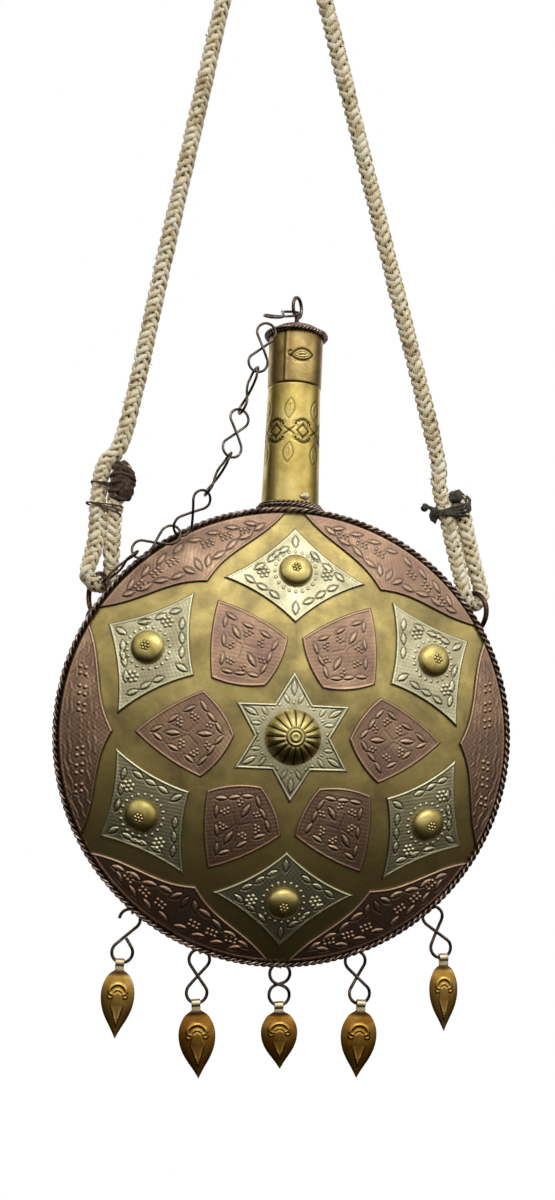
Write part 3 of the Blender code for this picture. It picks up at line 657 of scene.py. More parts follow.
def left_tie():
    """The tail's end is wound in dark brown rag, and thin thread holds it to the standing part."""
    along = Vector((0.2183, 0, 0.9759))
    across = Vector((0.9759, 0, -0.2183))
    middle = Vector((-0.1009, 0, -0.359))
    tail = middle + across * 0.0058 + along * 0.0045
    pieces = [lump(tail + Vector((0.0016, -0.0006, 0)), (0.0072, 0.0072, 0.0128), 3)]
    for start, turns, thick in ((-0.0095, 3, 0.00042), (0.0035, 3, 0.00042)):
        for turn in range(turns):
            at = middle + along * (start - 0.004 + 0.0011 * turn)
            ring = loop_round(at, across, along, 0.0053, 0.0057, 0.0014 * (turn - 1))
            pieces.append(wire(ring, thick, True, 2))
    for turn in range(6):
        at = tail + Vector((0.0014, 0, 0)) + along * (-0.0088 + 0.0036 * turn)
        size = 0.0071 * math.sqrt(max(0.1, 1 - ((turn - 2.5) / 4.1) ** 2))
        ring = []
        for k in range(24):
            x, y = polar(size + 0.0004 * math.sin(3 * TAU * k / 24 + turn), TAU * k / 24)
            ring.append(at + across * x + Vector((0, y, 0)) + along * (0.0022 * math.sin(TAU * k / 24 + turn)))
        pieces.append(wire(ring, 0.0012, True, 2))
    settle(join(pieces), "left_tie_rag", "strap", ["left_tie"], "cloth", BROWN_RAG)


def right_tie():
    """A slanted lashing of tarred cord with one end standing out on the left."""
    along = Vector((-0.2458, 0, 0.9693))
    across = Vector((0.9693, 0, 0.2458))
    middle = Vector((0.1110, 0, -0.3695))
    pieces = []
    for turn in range(4):
        at = middle + along * (-0.0030 + 0.0014 * turn)
        ring = loop_round(at, across, along, 0.0053, 0.0058, -0.0030 + 0.0012 * turn)
        pieces.append(wire(ring, 0.00095, True, 2))
    pieces.append(lump(middle + across * 0.0062 + along * 0.0072, (0.0058, 0.0060, 0.0050), 11, 4, 0.34))
    pieces.append(lump(middle + across * 0.0108 + along * 0.0010, (0.0038, 0.0052, 0.0068), 5, 4, 0.34))
    pieces.append(lump(middle + across * 0.0030 - along * 0.0034, (0.0050, 0.0062, 0.0026), 9, 3, 0.3))
    pieces.append(lump(middle - across * 0.0098 + along * 0.0006, (0.0026, 0.0048, 0.0052), 2, 3, 0.4))
    stalk = [middle - across * 0.0092 + along * 0.0030, middle - across * 0.0118 + along * 0.0056]
    stalk.append(middle - across * 0.0138 + along * 0.0062)
    pieces.append(wire(spline(stalk, 0.001), 0.0012, False, 2))
    pieces.append(lump(stalk[-1] - across * 0.0006, (0.0024, 0.0026, 0.0024), 8, 3, 0.34))
    settle(join(pieces), "right_tie_lashing", "strap", ["right_tie"], "cloth", TARRED)


left_tie()
right_tie()


# Shell of the body


def dome(radius):
    return np.sqrt(DOME_RADIUS**2 - np.minimum(radius, SHELL_EDGE) ** 2) - DOME_RADIUS + DOME_HEIGHT


def dent(obj, depth, size, keep=None):
    """Hand hammering: the sheet is a little uneven."""
    for vert in obj.data.vertices:
        if keep and not keep(vert.co):
            continue
        push = noise.noise(vert.co / size) + 0.5 * noise.noise(vert.co / (size * 0.45))
        vert.co += vert.normal * push * depth


def shells():
    outer = [(SHELL_EDGE * k / 48, float(dome(SHELL_EDGE * k / 48))) for k in range(49)]
    inner = [(SHELL_EDGE * k / 8, float(dome(SHELL_EDGE * k / 8)) - 0.0008) for k in range(8, -1, -1)]
    front = turned(outer + inner, 192)
    dent(front, 0.00010, 0.014)
    settle(front, "front_shell_dome", "flask", ["front_shell"], "pale_brass", BRASS, matrix=DISC_MATRIX)
    inside = BAND_RADIUS - 0.0014
    profile = [(inside, -0.0011), (0.1375, -0.0011), (0.1375, -0.0019), (BAND_RADIUS, -0.0019)]
    profile += [(BAND_RADIUS, -BAND_DEPTH * k / 12) for k in range(1, 12)]
    profile += [(BAND_RADIUS + 0.0006, -BAND_DEPTH + 0.0016), (BAND_RADIUS + 0.0006, -BAND_DEPTH)]
    profile += [(inside, -BAND_DEPTH), (inside, -0.0011)]
    band = turned(profile, 192)
    dent(band, 0.00010, 0.012)
    hole = turned([(0, 0.03), (0.0183, 0.03), (0.0183, -0.03), (0, -0.03)], 48)
    place = DISC_MATRIX.inverted() @ BODY_MATRIX @ Matrix.Translation(NECK + Vector((0, 0, 0.135)))
    hole.data.transform(place)
    cut = band.modifiers.new("neck hole", "BOOLEAN")
    cut.operation = "DIFFERENCE"
    cut.solver = "EXACT"
    cut.object = hole
    deselect()
    bpy.context.view_layer.objects.active = band
    bpy.ops.object.modifier_apply(modifier=cut.name)
    bpy.data.objects.remove(hole, do_unlink=True)
    pieces = [band]
    for turn, _, _, _ in PENDANTS:
        pieces.append(wire(eyelet(math.radians(turn)), 0.00095, False, 3))
    settle(join(pieces), "side_band_sheet", "flask", ["side_band"], "pale_brass", BRASS, matrix=DISC_MATRIX)
    back = []
    for k in range(13):
        radius = BACK_FLAT * k / 12
        back.append((radius, -BACK_DEPTH))
    half = (BACK_FLAT + BAND_RADIUS) / 2
    half_depth = -BACK_DEPTH + (BACK_DEPTH - BAND_DEPTH) / 3
    top = -BAND_DEPTH - 0.0003
    for k in range(1, 25):
        t = k / 24
        radius = BACK_FLAT + (BAND_RADIUS - BACK_FLAT) * t
        depth = np.interp(t, (0, 0.5, 1), (-BACK_DEPTH, half_depth, top - 0.0015))
        depth -= 0.0006 * math.sin(math.pi * min(1, 2 * abs(t - 0.5) if t < 0.5 else 2 * (t - 0.5))) * 0
        back.append((radius, float(depth)))
    back += [(BAND_RADIUS, top), (BAND_RADIUS - 0.0015, top), (half, half_depth + 0.0015)]
    back += [(BACK_FLAT, -BACK_DEPTH + 0.0015), (0, -BACK_DEPTH + 0.0015)]
    dish = turned(back, 192)
    dent(dish, 0.00012, 0.013, lambda co: co.xy.length > BACK_FLAT * 1.05)
    settle(dish, "back_shell_dish", "flask", ["back_shell"], "pale_brass", BRASS, matrix=DISC_MATRIX)


PENDANTS = (
    (231.1, 13, 4, 0.9),
    (250.7, 4.6, -2, 1),
    (271.1, 2, -1, 1),
    (290.0, -7.5, 3.5, 1),
    (312.4, -15, -0.5, 0.8),
)
EYELET_RADIUS = 0.1409


def eyelet(turn):
    """The staple under the band that one pendant hook hangs in."""
    half = 0.0035
    foot = BAND_RADIUS - 0.0007
    knee = EYELET_RADIUS - half
    path = [(foot, -1, 0)]
    path += [(knee, -math.cos(k * math.pi / 12), math.sin(k * math.pi / 12)) for k in range(13)]
    path.append((foot, 1, 0))
    points = []
    for radius, across, over in path:
        x, y = polar(radius + half * over, turn)
        points.append((x, y, half * across - 0.008))
    return points


shells()


# Chased relief: heights in millimetres over plates laid out in millimetres


def almond(x, y, at, turn, length, width, rise, line):
    """A leaf: a pointed oval with a cut outline, swollen inside, with a cut vein."""
    dx, dy = x - at[0], y - at[1]
    along = (dx * math.cos(turn) + dy * math.sin(turn)) / (length / 2)
    across = (-dx * math.sin(turn) + dy * math.cos(turn)) / (width / 2)
    shape = np.abs(across) + along**2
    lift = rise * np.clip(1 - shape, 0, 1) ** 0.85
    cut = line * np.exp(-(((shape - 1.08) / 0.22) ** 2)) * (np.abs(along) < 1.15)
    vein = 0.9 * line * np.exp(-((across / 0.14) ** 2)) * (np.abs(along) < 0.42)
    return lift - cut - vein


def bead(x, y, at, radius, rise, line):
    away = np.hypot(x - at[0], y - at[1]) / radius
    lift = rise * np.sqrt(np.clip(1 - away**2, 0, 1))
    return lift - line * np.exp(-(((away - 1.2) / 0.28) ** 2))


def scratch(x, y, path, width, depth):
    """A line cut along a path."""
    near = np.full(x.shape, 1e9)
    for (ax, ay), (bx, by) in zip(path, path[1:]):
        run = (bx - ax) ** 2 + (by - ay) ** 2 + 1e-12
        t = np.clip(((x - ax) * (bx - ax) + (y - ay) * (by - ay)) / run, 0, 1)
        near = np.minimum(near, np.hypot(x - ax - t * (bx - ax), y - ay - t * (by - ay)))
    return -depth * np.exp(-((near / width) ** 2))


def beads(x, y, centre, turn, spots, radius, rise, line):
    """A cluster of beads at these spots round a centre."""
    total = np.zeros_like(x)
    for dx, dy in spots:
        px = centre[0] + dx * math.cos(turn) - dy * math.sin(turn)
        py = centre[1] + dx * math.sin(turn) + dy * math.cos(turn)
        total += bead(x, y, (px, py), radius, rise, line)
    return total


def border_distance(x, y, outline):
    """Distance in from the outline of a plate."""
    near = np.full(x.shape, 1e9)
    for i in range(len(outline)):
        ax, ay = outline[i - 1]
        bx, by = outline[i]
        run = (bx - ax) ** 2 + (by - ay) ** 2 + 1e-12
        t = np.clip(((x - ax) * (bx - ax) + (y - ay) * (by - ay)) / run, 0, 1)
        near = np.minimum(near, np.hypot(x - ax - t * (bx - ax), y - ay - t * (by - ay)))
    return near


def plate(columns, rows, lay, outline, relief):
    """A thin plate on the dome: a grid laid on its outline, chased, with its edge turned down."""
    deselect()
    bpy.ops.mesh.primitive_grid_add(x_subdivisions=columns, y_subdivisions=rows, size=1)
    obj = bpy.context.object
    flat = coordinates(obj)
    x, y = lay(flat[:, 0] + 0.5, flat[:, 1] + 0.5)
    margin = border_distance(x, y, outline)
    height = relief(x, y) * np.clip(margin / 1.2, 0, 1)
    height = height + 0.3 * np.exp(-(((margin - 1.0) / 0.5) ** 2))
    rounding = 0.45 * np.clip(1 - margin / 0.8, 0, 1) ** 2
    z = dome(np.hypot(x, y) * MM) + PLAQUE_LIFT + (height - rounding) * MM
    put(obj, np.stack([x * MM, y * MM, z], axis=1))
    bpy.ops.object.mode_set(mode="EDIT")
    bpy.ops.mesh.select_all(action="SELECT")
    bpy.ops.mesh.remove_doubles(threshold=0.00001)
    bpy.ops.mesh.normals_make_consistent(inside=False)
    bpy.ops.mesh.select_all(action="DESELECT")
    bpy.ops.mesh.select_mode(type="EDGE")
    bpy.ops.mesh.select_non_manifold(extend=False)
    bpy.ops.mesh.extrude_edges_move(TRANSFORM_OT_translate={"value": (0, 0, -0.0011)})
    bpy.ops.mesh.edge_face_add()
    bpy.ops.object.mode_set(mode="OBJECT")
    if sum(face.normal.z for face in obj.data.polygons[:200]) < 0:
        obj.data.flip_normals()
    points = coordinates(obj) / MM
    level = relief(points[:, 0], points[:, 1])
    inward = border_distance(points[:, 0], points[:, 1], outline)
    # Painted highlight: a bright band just inside the edge, where it catches the light; painted shade: a dark line at
    # the very edge.
    painted_edge_light = 0.6 * np.exp(-(((inward - 0.9) / 0.5) ** 2)) - 0.25 * np.exp(-((inward / 0.3) ** 2))
    store(obj, "chase_and_painted_light", level * np.clip(inward / 1.2, 0, 1) + painted_edge_light)
    return obj


def repeat(master, names, turns, body, nodes, slot, made):
    """Copies of a plate turned about the middle of the disc, each with its own mesh."""
    for name, turn, node in zip(names, turns, nodes):
        mesh = master.data.copy()
        obj = bpy.data.objects.new(name, mesh)
        bpy.context.scene.collection.objects.link(obj)
        settle(obj, name, body, [node], slot, made, matrix=DISC_MATRIX @ Matrix.Rotation(turn, 4, "Z"))
    bpy.data.objects.remove(master, do_unlink=True)


def bowed(a, b, bow, share):
    """A point along a side that bows out by this much."""
    a, b = np.array(a), np.array(b)
    side = (b - a) / np.linalg.norm(b - a)
    outward = np.array((side[1], -side[0]))
    share = np.asarray(share)[..., None]
    return a + (b - a) * share + outward * (bow * 4 * share * (1 - share))


def four_sided(tip, side, side_turn, root, bow):
    """Outline of a kite or petal, and how a unit square is laid on it."""
    corners = [(tip, 0), polar(side, side_turn), (root, 0), polar(side, -side_turn)]
    outline = []
    for i in range(4):
        for share in np.linspace(0, 1, 12, endpoint=False):
            outline.append(tuple(bowed(corners[i], corners[(i + 1) % 4], bow, share)))

    def lay(u, v):
        top, left, bottom, right = corners
        one = bowed(bottom, right, bow, u)
        two = bowed(top, left, bow, 1 - u)
        three = bowed(left, bottom, bow, 1 - v)
        four = bowed(right, top, bow, v)
        uu, vv = u[:, None], v[:, None]
        blend = one * (1 - vv) + two * vv + three * (1 - uu) + four * uu
        flat = np.array(bottom) * (1 - uu) * (1 - vv) + np.array(right) * uu * (1 - vv)
        flat = flat + np.array(left) * (1 - uu) * vv + np.array(top) * uu * vv
        out = blend - flat
        return out[:, 0], out[:, 1]

    return corners, outline, lay


CLUSTER = [(0, 0)] + [polar(2.7, 0.4 + k * TAU / 6) for k in range(6)]
HEX_SPOTS = [(0, 0)] + [polar(2.2, k * TAU / 6) for k in range(6)]
PAIR_SPOTS = [(-1.4, -2.6), (1.3, -2.3), (-1.4, 0.1), (1.3, 0.4), (-1.2, 2.8), (1.4, 2.9)]


def side_leaves(corners, inset, shares, slant, length, width):
    """Leaves set along each side of a plate, leaning one way and then the other."""
    centre = np.mean(np.array(corners), axis=0)
    out = []
    for i in range(4):
        a, b = np.array(corners[i]), np.array(corners[(i + 1) % 4])
        side = (b - a) / np.linalg.norm(b - a)
        inward = np.array((-side[1], side[0]))
        if np.dot(inward, centre - a) < 0:
            inward = -inward
        for k, share in enumerate(shares):
            at = a + (b - a) * share + inward * inset
            turn = math.atan2(side[1], side[0]) + (slant if k % 2 else -slant)
            out.append((tuple(at), turn, length, width))
    return out


def kites():
    corners, outline, lay = four_sided(126, 102, math.radians(24.5), 67, -2.8)
    leaves = side_leaves(corners, 7.2, (0.27, 0.44, 0.61), 0.10, 7.6, 3.3)
    leaves += [((117.0, 0), 0, 8.0, 3.6), ((75.5, 0), 0, 8.0, 3.6)]
    leaves += [((108.5, 11.5), -0.75, 7.6, 3.0), ((108.5, -11.5), 0.75, 7.6, 3.0)]

    def relief(x, y):
        total = 0.05 * np.sin(x * 1.9) * np.sin(y * 2.3)
        for at, turn, length, width in leaves:
            total = total + almond(x, y, at, turn, length, width, 0.62, 0.30)
        for turn in range(0, 360, 18):
            at = (98 + 12.4 * math.cos(math.radians(turn)), 12.4 * math.sin(math.radians(turn)))
            total = total + bead(x, y, at, 0.95, 0.5, 0.08)
        for centre in ((97, 19.0), (97, -19.0)):
            total = total + beads(x, y, centre, 0.3, CLUSTER, 1.15, 0.7, 0.1)
        return total

    master = plate(124, 124, lay, outline, relief)
    names = [f"kite_chased_{i + 1}" for i in range(6)]
    turns = [TAU * (i + 0.5) / 6 for i in range(6)]
    repeat(master, names, turns, "flask", [f"kite_plaque_{i + 1}" for i in range(6)], "nickel_silver", SILVER)


def petals():
    corners, outline, lay = four_sided(91, 58, math.radians(26), 33.5, 2.2)
    leaves = side_leaves(corners, 5.2, (0.27, 0.51, 0.75), 0.10, 8.0, 2.7)
    leaves += [((69, 0), 0, 9.5, 3.4), ((50.5, 0), 0, 9.5, 3.4)]
    spots = [(0, 0), (2.1, 0), (1.05, 1.85), (-1.05, 1.85), (-2.1, 0)]

    def relief(x, y):
        total = 0.04 * np.sin(x * 2.1) * np.sin(y * 1.7)
        for at, turn, length, width in leaves:
            total = total + almond(x, y, at, turn, length, width, 0.85, 0.26)
        for sign in (1, -1):
            total = total + beads(x, y, (64.5, 6.4 * sign), sign * 1.57, spots, 0.95, 0.5, 0.1)
            total = total + beads(x, y, (56.5, 10.5 * sign), 0.6 * sign, spots, 0.95, 0.5, 0.1)
            total = total + beads(x, y, (48.0, 6.4 * sign), -0.8 * sign, spots[:4], 0.9, 0.46, 0.1)
            total = total + scratch(x, y, [(60, 0.9 * sign), (55.0, 6.0 * sign)], 0.5, 0.14)
            total = total + scratch(x, y, [(61, 0.9 * sign), (69.5, 4.6 * sign)], 0.5, 0.14)
        return total

    master = plate(112, 112, lay, outline, relief)
    names = [f"petal_chased_{i + 1}" for i in range(6)]
    turns = [TAU * i / 6 for i in range(6)]
    repeat(master, names, turns, "flask", [f"petal_plaque_{i + 1}" for i in range(6)], "copper", COPPER)


OGEE = (
    (0, 0.764),
    (2, 0.778),
    (4.5, 0.796),
    (8, 0.819),
    (12, 0.842),
    (17, 0.873),
    (21.5, 0.910),
    (24.5, 0.946),
    (26.4, 0.976),
    (27.6, 1.0),
)
EDGE_RADIUS = 135.8


def edges():
    fine = spline([(turn, share * 20, 0) for turn, share in OGEE], 0.3)
    angle = np.array([p.x for p in fine])
    inner = np.array([p.y / 20 for p in fine]) * EDGE_RADIUS
    end = math.radians(27.6)

    def lay(u, v):
        turn = (u * 2 - 1) * end
        low = np.interp(np.abs(np.degrees(turn)), angle, inner)
        radius = low + (EDGE_RADIUS - low) * v
        return radius * np.cos(turn), radius * np.sin(turn)

    outline = []
    for turn, radius in zip(angle[::3], inner[::3]):
        outline.append(polar(radius, math.radians(turn)))
    for k in range(31):
        outline.append(polar(EDGE_RADIUS, end - 2 * end * k / 30))
    for turn, radius in reversed(list(zip(angle[::3], inner[::3]))):
        outline.append(polar(radius, -math.radians(turn)))

    def strokes(x, y):
        total = 0.04 * np.sin(x * 1.7) * np.sin(y * 2.2)
        for sign in (1, -1):
            for row in (10.5, 14.5, 20.5, 25.0, 32.5, 36.5):
                for spot in ((121.0, row * sign), (124.4, (row + 0.9) * sign)):
                    total = total + bead(x, y, spot, 1.2, 0.7, 0.1)
            for first, last, radius, sway in (
                (0.6, 6.5, 113.0, 0.5),
                (1.0, 9.5, 116.6, 0.6),
                (8.5, 14.5, 119.0, -0.5),
                (14.5, 20.5, 122.6, 0.6),
                (0.6, 3.6, 121.5, 0.4),
                (0.8, 8.8, 128.2, 0.6),
                (4.0, 12.0, 131.4, -0.5),
                (10.5, 17.5, 129.8, 0.6),
                (15.0, 23.0, 132.2, -0.5),
                (18.0, 23.5, 128.0, 0.5),
            ):
                path = []
                for k in range(15):
                    t = k / 14
                    turn = math.radians(first + (last - first) * t)
                    path.append(polar(radius + sway * math.sin(TAU * 1.5 * t), sign * turn))
                total = total + scratch(x, y, path, 0.6, 0.13)
                total = total - scratch(x, y, [(px * 1.01, py * 1.01) for px, py in path], 0.8, 0.24)
        return total

    def relief(x, y):
        total = 0.04 * np.sin(x * 1.7) * np.sin(y * 2.2)
        for sign in (1, -1):
            for turn, inset, slant, length in (
                (3.2, 8.0, 1.0, 8.6),
                (6.8, 5.4, 0.2, 9.8),
                (11.4, 5.6, 0.55, 10.0),
                (15.8, 5.2, 0.2, 9.6),
                (20.2, 5.2, 0.5, 8.8),
            ):
                low = float(np.interp(turn, angle, inner))
                at = polar(low + inset, sign * math.radians(turn))
                lie = sign * (math.radians(turn) + math.pi / 2 - slant)
                total = total + almond(x, y, at, lie, length, 3.7, 0.9, 0.26)
            for turn in (2.6, 7.8, 13.0, 18.2):
                at = polar(130.0, sign * math.radians(turn))
                lie = sign * (math.radians(turn) + math.pi / 2 + 0.32)
                total = total + almond(x, y, at, lie, 9.2, 3.3, 0.9, 0.26)
            for turn in (5.4, 10.8, 16.4):
                at = polar(124.4 + 0.1 * turn, sign * math.radians(turn))
                total = total + beads(x, y, at, sign * math.radians(turn), PAIR_SPOTS, 1.1, 0.7, 0.1)
        total = total + almond(x, y, (115.5, 0), 0, 9.0, 3.6, 0.46, 0.30)
        return total

    for chased, places in ((relief, (1, 2, 4, 5)), (strokes, (0, 3))):
        master = plate(300, 70, lay, outline, chased)
        names = [f"edge_chased_{i + 1}" for i in places]
        turns = [TAU * i / 6 for i in places]
        repeat(master, names, turns, "flask", [f"edge_plaque_{i + 1}" for i in places], "copper", COPPER)


def star():
    corners = []
    for i in range(6):
        corners.append(polar(22.4, TAU * i / 6))
        corners.append(polar(38.5, TAU * (i + 0.5) / 6))
    around = np.array(corners + corners[:1])

    def lay(u, v):
        place = u * 12
        low = np.minimum(place.astype(int), 11)
        share = (place - low)[:, None]
        rim = around[low] * (1 - share) + around[low + 1] * share
        out = rim * (v * 0.999 + 0.001)[:, None]
        return out[:, 0], out[:, 1]

    def relief(x, y):
        total = 0.04 * np.sin(x * 2.4) * np.sin(y * 2.0)
        margin = border_distance(x, y, corners)
        total = total - 0.2 * np.exp(-(((margin - 2.0) / 0.35) ** 2))
        for i in range(6):
            turn = TAU * (i + 0.5) / 6
            total = total + almond(x, y, polar(28.5, turn), turn, 9.0, 3.2, 0.4, 0.28)
            for sign in (1, -1):
                total = total + almond(x, y, polar(22.5, turn + sign * 0.19), turn + sign * 0.5, 6.5, 2.4, 0.38, 0.28)
                total = total + bead(x, y, polar(20.3, turn + sign * 0.42), 0.8, 0.32, 0.14)
            total = total + bead(x, y, polar(20.0, turn), 0.8, 0.32, 0.14)
        return total

    master = plate(360, 60, lay, corners, relief)
    repeat(master, ["star_chased"], [0], "flask", ["star_plaque"], "nickel_silver", SILVER)


kites()
petals()
edges()
star()


# Bosses


def round_relief(obj, height, keep=None):
    """Raises the outside of a turned piece along its normals by a height in millimetres."""
    points = coordinates(obj)
    level = height(points / MM)
    if keep is not None:
        level = level * keep(points / MM)
    normals = np.zeros(len(points) * 3)
    obj.data.vertices.foreach_get("normal", normals)
    put(obj, points + normals.reshape(-1, 3) * level[:, None] * MM)
    store(obj, "chase_and_painted_light", level)


def boss_profile(radius, height, rings):
    """A dome that stands steep at its foot, over a thin wall."""
    out = []
    for k in range(rings + 1):
        turn = math.pi / 2 * (1 - k / rings)
        out.append((radius * math.cos(turn) ** 0.9, height * (0.12 + 0.88 * math.sin(turn))))
    out[0] = (0, height)
    out += [(radius, 0), (radius - 0.0011, 0), (radius - 0.0011, height * 0.2), (0, height - 0.0011)]
    return out


def bosses():
    def flutes(p):
        radius = np.hypot(p[:, 0], p[:, 1])
        turn = np.arctan2(p[:, 1], p[:, 0])
        zone = np.clip((radius - 5.6) / 1.6, 0, 1) * np.clip((16.1 - radius) / 0.6, 0, 1)
        wave = np.cos(16 * turn)
        out = -0.55 * zone * np.exp(-(1 - wave) / 0.16) + 0.2 * zone * np.clip(-wave, 0, 1)
        for ring in (1.9, 4.3):
            out = out + 0.4 * np.exp(-(((radius - ring) / 0.5) ** 2))
        for ring in (3.1, 5.3):
            out = out - 0.3 * np.exp(-(((radius - ring) / 0.4) ** 2))
        return out

    middle = turned(boss_profile(0.0162, 0.0150, 56), 256)
    round_relief(middle, flutes, lambda p: p[:, 2] > 2)
    foot = float(dome(0.0151)) + PLAQUE_LIFT + 0.0003
    place = DISC_MATRIX @ Matrix.Translation((0, 0, foot))
    settle(middle, "centre_boss_fluted", "flask", ["centre_boss"], "pale_brass", BOSS_BRASS, matrix=place)

    def flower(p):
        x, y = p[:, 0], p[:, 1]
        out = beads(x, y, (0, 0), 0.3, [(dx * 0.9, dy * 0.9) for dx, dy in HEX_SPOTS], 0.85, 0.42, 0.22)
        return out

    master = turned(boss_profile(0.0100, 0.0052, 36), 128)
    round_relief(master, flower, lambda p: p[:, 2] > 1)
    tangent = math.asin(0.098 / DOME_RADIUS)
    lift = DOME_RADIUS + PLAQUE_LIFT + 0.0003
    for i in range(6):
        turn = TAU * (i + 0.5) / 6
        x, y = polar(lift * math.sin(tangent), turn)
        z = lift * math.cos(tangent) - DOME_RADIUS + DOME_HEIGHT
        place = DISC_MATRIX @ Matrix.Translation((x, y, z))
        place = place @ Matrix.Rotation(turn, 4, "Z") @ Matrix.Rotation(tangent, 4, "Y")
        obj = bpy.data.objects.new("boss", master.data.copy())
        bpy.context.scene.collection.objects.link(obj)
        name = f"kite_boss_{i + 1}"
        settle(obj, f"{name}_pressed", "flask", [name], "pale_brass", BOSS_BRASS, matrix=place)
    bpy.data.objects.remove(master, do_unlink=True)


bosses()


# Twisted wires


def twist(radius, strand, turns, per_turn, flat=1.0):
    """Two strands twisted together into a closed ring about Z."""
    pieces = []
    for phase in (0, math.pi):
        points = []
        count = turns * per_turn
        for k in range(count):
            around = TAU * k / count
            spin = TAU * k / per_turn + phase
            out, up = polar(strand, spin)
            x, y = polar(radius + out, around)
            points.append((x, y, up * flat))
        pieces.append(wire(points, strand, True, 2))
    return join(pieces)


def rims():
    ring = twist(RIM_RADIUS - 0.0003, 0.00086, 100, 12)
    settle(ring, "rim_twist", "flask", ["rim_wire"], "dark_wire", TWISTED, matrix=DISC_MATRIX)
    lower = twist(0.0199, 0.00072, 20, 10)
    collar = BODY_MATRIX @ Matrix.Translation(NECK + Vector((0, 0, 0.1417)))
    upper = twist(0.0186, 0.00060, 21, 10)
    upper.data.transform(Matrix.Translation((0, 0, 0.0019)))
    settle(join([lower, upper]), "neck_collar_twist", "flask", ["neck_collar"], "dark_wire", TWISTED, matrix=collar)


rims()


# Neck and cap


def ring_path(cx, cy, radius, start, stop, parts=10):
    out = []
    for k in range(parts + 1):
        turn = math.radians(start + (stop - start) * k / parts)
        out.append((cx + radius * math.cos(turn), cy + radius * math.sin(turn)))
    return out


def neck_relief(s, z):
    """Engraving round the neck: scrolled squares, with a leaf above and below each join."""
    total = np.zeros_like(s)
    around = TAU * 16.3
    count = 6
    pitch = around / count
    line, wide = 0.27, 0.5
    for i in range(count):
        cx = pitch * (i + 0.26) - around / 2
        local = (s - cx + around / 2) % around - around / 2
        near = np.abs(local) < pitch * 0.75
        if not near.any():
            continue
        x, y = local[near], z[near]
        part = np.zeros_like(x)
        for sx in (1, -1):
            for sy in (1, -1):
                part = part + bead(x, y, (4.6 * sx, 4.2 * sy), 0.95, -0.5, -0.1)
                part = part + scratch(x, y, ring_path(4.6 * sx, 4.2 * sy, 1.7, 20 * sx * sy, 300 * sx * sy), wide * 0.8, line * 0.7)
                part = part + scratch(x, y, [(0, 3.6 * sy), (3.6 * sx, 0)], wide, line)
                part = part + scratch(x, y, [(0, 4.9 * sy), (3.2 * sx, 1.6 * sy)], wide * 0.8, line * 0.6)
        for sy in (1, -1):
            part = part + scratch(x, y, ring_path(0, 2.4 * sy, 5.0, 35 * sy, 145 * sy), wide, line)
            part = part + scratch(x, y, ring_path(0, 2.9 * sy, 3.6, 35 * sy, 145 * sy), wide * 0.8, line * 0.7)
            for k in range(-2, 3):
                a = (1.0 * k, (6.0 - 0.22 * k * k) * sy)
                b = (1.4 * k, (7.1 - 0.3 * k * k) * sy)
                part = part + scratch(x, y, [a, b], 0.28, line * 0.7)
        join_at = pitch / 2
        part = part + scratch(x, y, [(join_at - 2.8, 2.0), (join_at + 2.8, -2.0)], wide, line)
        part = part + scratch(x, y, [(join_at - 2.8, -2.0), (join_at + 2.8, 2.0)], wide, line)
        for sy in (1, -1):
            leaf = almond(x, y, (join_at, 13.6 * sy), math.pi / 2 - 0.1, 12.0, 5.6, 0.05, 0.17)
            inner = almond(x, y, (join_at + 0.3, 13.0 * sy), math.pi / 2 - 0.2, 7.0, 2.8, 0.02, 0.13)
            part = part + leaf + inner
        total[near] += part
    return total


def neck():
    bore = 0.0139
    profile = [(bore, 0.2475), (0.0153, 0.2475), (0.0153, 0.2179), (0.0159, 0.2175), (0.0163, 0.2170)]
    low, high = 0.1500, 0.2170
    rows = 150
    for k in range(1, rows + 1):
        z = high + (low - high) * k / rows
        profile.append((float(np.interp(z, (0.142, 0.2175), (0.0180, 0.0163))), z))
    profile += [(0.0180, 0.142), (0.0180, 0.1255), (0.0166, 0.1255), (0.0166, 0.142), (bore, 0.2475)]
    obj = turned(profile, 256)

    def height(p):
        turn = np.arctan2(p[:, 1], p[:, 0]) + math.pi / 2
        turn = (turn + math.pi) % TAU - math.pi
        return neck_relief(turn * 16.3, p[:, 2] - 187.6)

    def outside(p):
        return (np.hypot(p[:, 0], p[:, 1]) > 15.9) & (p[:, 2] > 150) & (p[:, 2] < 217)

    round_relief(obj, height, outside)
    place = BODY_MATRIX @ Matrix.Translation(NECK)
    settle(obj, "neck_engraved", "flask", ["neck_tube"], "neck_brass", NECK_BRASS, matrix=place)
    blob = lump((0, 0, 0), (0.0033, 0.0016, 0.0022), 2, 3, 0.3)
    turn = math.radians(-90 + 24)
    x, y = polar(0.0184, turn)
    spot = place @ Matrix.Translation((x, y, 0.1478)) @ Matrix.Rotation(turn + math.pi / 2, 4, "Z")
    settle(blob, "neck_solder", "flask", [], "nickel_silver", SOLDER, matrix=spot)


def solder():
    """Soft solder left in a blob: pale, matt and a little yellow."""
    made, tree, shader = material("soft solder")
    shader.inputs["Base Color"].default_value = linear("#d9cfae")
    place = add(tree, "ShaderNodeTexCoord").outputs["Object"]
    cloud = add(tree, "ShaderNodeTexNoise", {"Scale": 1 / (1.5 * MM), "Detail": 4}, {"Vector": place})
    tone = add(
        tree,
        "ShaderNodeValToRGB",
        None,
        {"Fac": cloud.outputs["Fac"]},
        [(0.35, "#b5a884"), (0.6, "#e4dcc0")],
    )
    tree.links.new(tone.outputs["Color"], shader.inputs["Base Color"])
    shader.inputs["Metallic"].default_value = 0.6
    shader.inputs["Roughness"].default_value = 0.5
    return made


SOLDER = solder()


